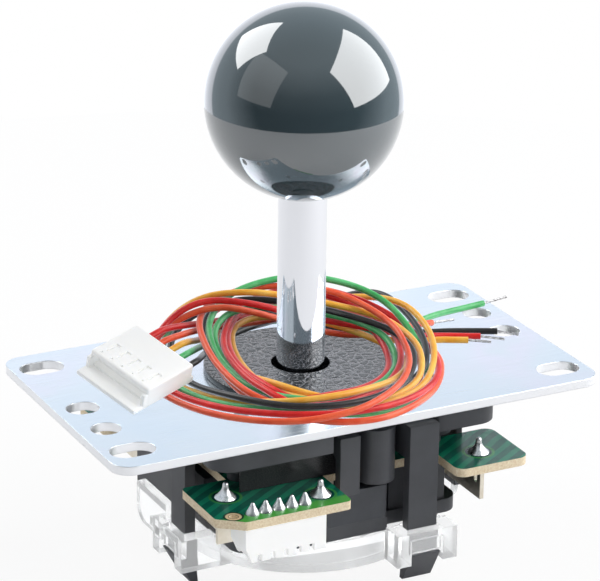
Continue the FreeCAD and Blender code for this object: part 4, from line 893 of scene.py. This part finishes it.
# %% [markdown]
# Each window is a slot along its wire with a hook at the back, and a small notch in front of it. The top is cut along
# their outlines, and the faces inside them are pushed down. Each is given by its span along and across its wire.

# %% Latch windows in the top
WAYS = [2.1 + 2.5 * way for way in range(5)]
SLOT, HOOK, NOTCH = ((5.0, 7.8), (-0.2, 0.2)), ((7.4, 7.8), (-0.85, 0.2)), ((3.85, 4.25), (0.2, 0.55))
WINDOW_DEPTH = 1.1


def cut(bm, spot, normal):
    bmesh.ops.bisect_plane(bm, geom=bm.verts[:] + bm.edges[:] + bm.faces[:], plane_co=spot, plane_no=normal)


for x in sorted({end for along, _ in (SLOT, HOOK, NOTCH) for end in along}):
    cut(bm, (x, 0, 0), (1, 0, 0))
for way in WAYS:
    for side in sorted({end for _, across in (SLOT, HOOK, NOTCH) for end in across}):
        cut(bm, (0, way + side, 0), (0, 1, 0))


def in_window(spot):
    return spot.z > CONNECTOR_TOP - 0.05 and any(
        along[0] < spot.x < along[1] and across[0] < spot.y - way < across[1]
        for way in WAYS for along, across in (SLOT, HOOK, NOTCH))


windows = [face for face in bm.faces if in_window(face.calc_center_median())]
sunk = bmesh.ops.extrude_face_region(bm, geom=windows)["geom"]
lowered = [part for part in sunk if isinstance(part, bmesh.types.BMVert)]
bmesh.ops.translate(bm, verts=lowered, vec=(0, 0, -WINDOW_DEPTH))
bmesh.ops.delete(bm, geom=windows, context="FACES")
print("window faces", len(windows))

# %% [markdown]
# Below the mouth a lip stands out, with a cheek at each end, and the foot runs along under the body.

# %% Lower lip and foot
LIP, FOOT = ((0.0, 0.0, 0.0), (3.6, 14.2, 0.9)), ((3.3, 0.05, 0.0), (15.2, 14.15, 1.25))
CHEEKS = ((2.2, 0.0, 0.3), (3.4, 0.85, 3.1)), ((2.2, 13.35, 0.3), (3.4, 14.2, 3.1))
for low, high in (LIP, FOOT, *CHEEKS):
    block(bm, low, high, 0.25)
connector = finish_piece("connector_housing", bm, nylon, "base", ["harness_connector"], CONNECTOR_PLACE)
connector.visible_glossy = False

# %% [markdown]
# ## The housing's screw bosses
# The four screw bosses end a little above the board, and a thinner post goes down from each. A copy of the housing is
# merged and gets its boss ends lifted; the CAD solid itself stays as it is.

# %% Housing with raised boss ends
SCREW_PLACES = [(side * 19.2, end * 14.0) for side in (-1, 1) for end in (-1, 1)]
BOSS_REACH, BOSS_LIFT = 4.0, 2.2
POST_RADIUS, POST_TOP = 2.0, -10.2
bm = bmesh.new()
bm.from_mesh(solids["housing"].data)
bmesh.ops.scale(bm, verts=bm.verts, vec=(1000, 1000, 1000))
bmesh.ops.remove_doubles(bm, verts=bm.verts, dist=0.001)
ends = [vert for vert in bm.verts if abs(vert.co.z - BOARD_TOP) < 0.02
        and min((vert.co.xy - Vector(spot)).length for spot in SCREW_PLACES) < BOSS_REACH]
bmesh.ops.translate(bm, verts=ends, vec=(0, 0, BOSS_LIFT))
for x, y in SCREW_PLACES:
    turned(bm, [(POST_RADIUS, POST_TOP), (POST_RADIUS, BOARD_TOP + 0.01)], x, y, steps=24)
print("boss points lifted:", len(ends))
bmesh.ops.dissolve_limit(bm, angle_limit=radians(0.5), verts=bm.verts, edges=bm.edges)
moulding = finish_piece("housing_moulding", bm, housing_finish, "base", ["housing"], crease=30)
if "custom_normal" in moulding.data.attributes:
    moulding.data.attributes.remove(moulding.data.attributes["custom_normal"])

# %% [markdown]
# Behind the front row of solder joints there is only deep shade under the housing. A thin near-black sheet stands on
# the board there: it is painted shade, and it hides what lies behind it. The housing is taken to be the same from
# behind, so the far side has one too.

# %% Near-black sheets that paint the shade behind the solder joints
# Painted shade: two thin near-black sheets in the acetal finish stand where there is only shade.
SHADE_SHEET_START, SHADE_SHEET_END, SHADE_SHEET_INSIDE, SHADE_SHEET_OUTSIDE, SHADE_SHEET_TOP = 0.6, 21.8, 19.58, 20.0, -7.2
bm = bmesh.new()
block(bm, (-SHADE_SHEET_END, -SHADE_SHEET_OUTSIDE, BOARD_TOP), (-SHADE_SHEET_START, -SHADE_SHEET_INSIDE, SHADE_SHEET_TOP), 0.1)
block(bm, (SHADE_SHEET_START, SHADE_SHEET_INSIDE, BOARD_TOP), (SHADE_SHEET_END, SHADE_SHEET_OUTSIDE, SHADE_SHEET_TOP), 0.1)
finish_piece("painted_shade_sheets", bm, acetal, "base")

# %% [markdown]
# ## Sizes and the last line
# The CAD part's box, taken right after loading, is printed. The visual model must stay
# inside the CAD part's box.

# %% Print the CAD box
print("CAD box", cad_box)
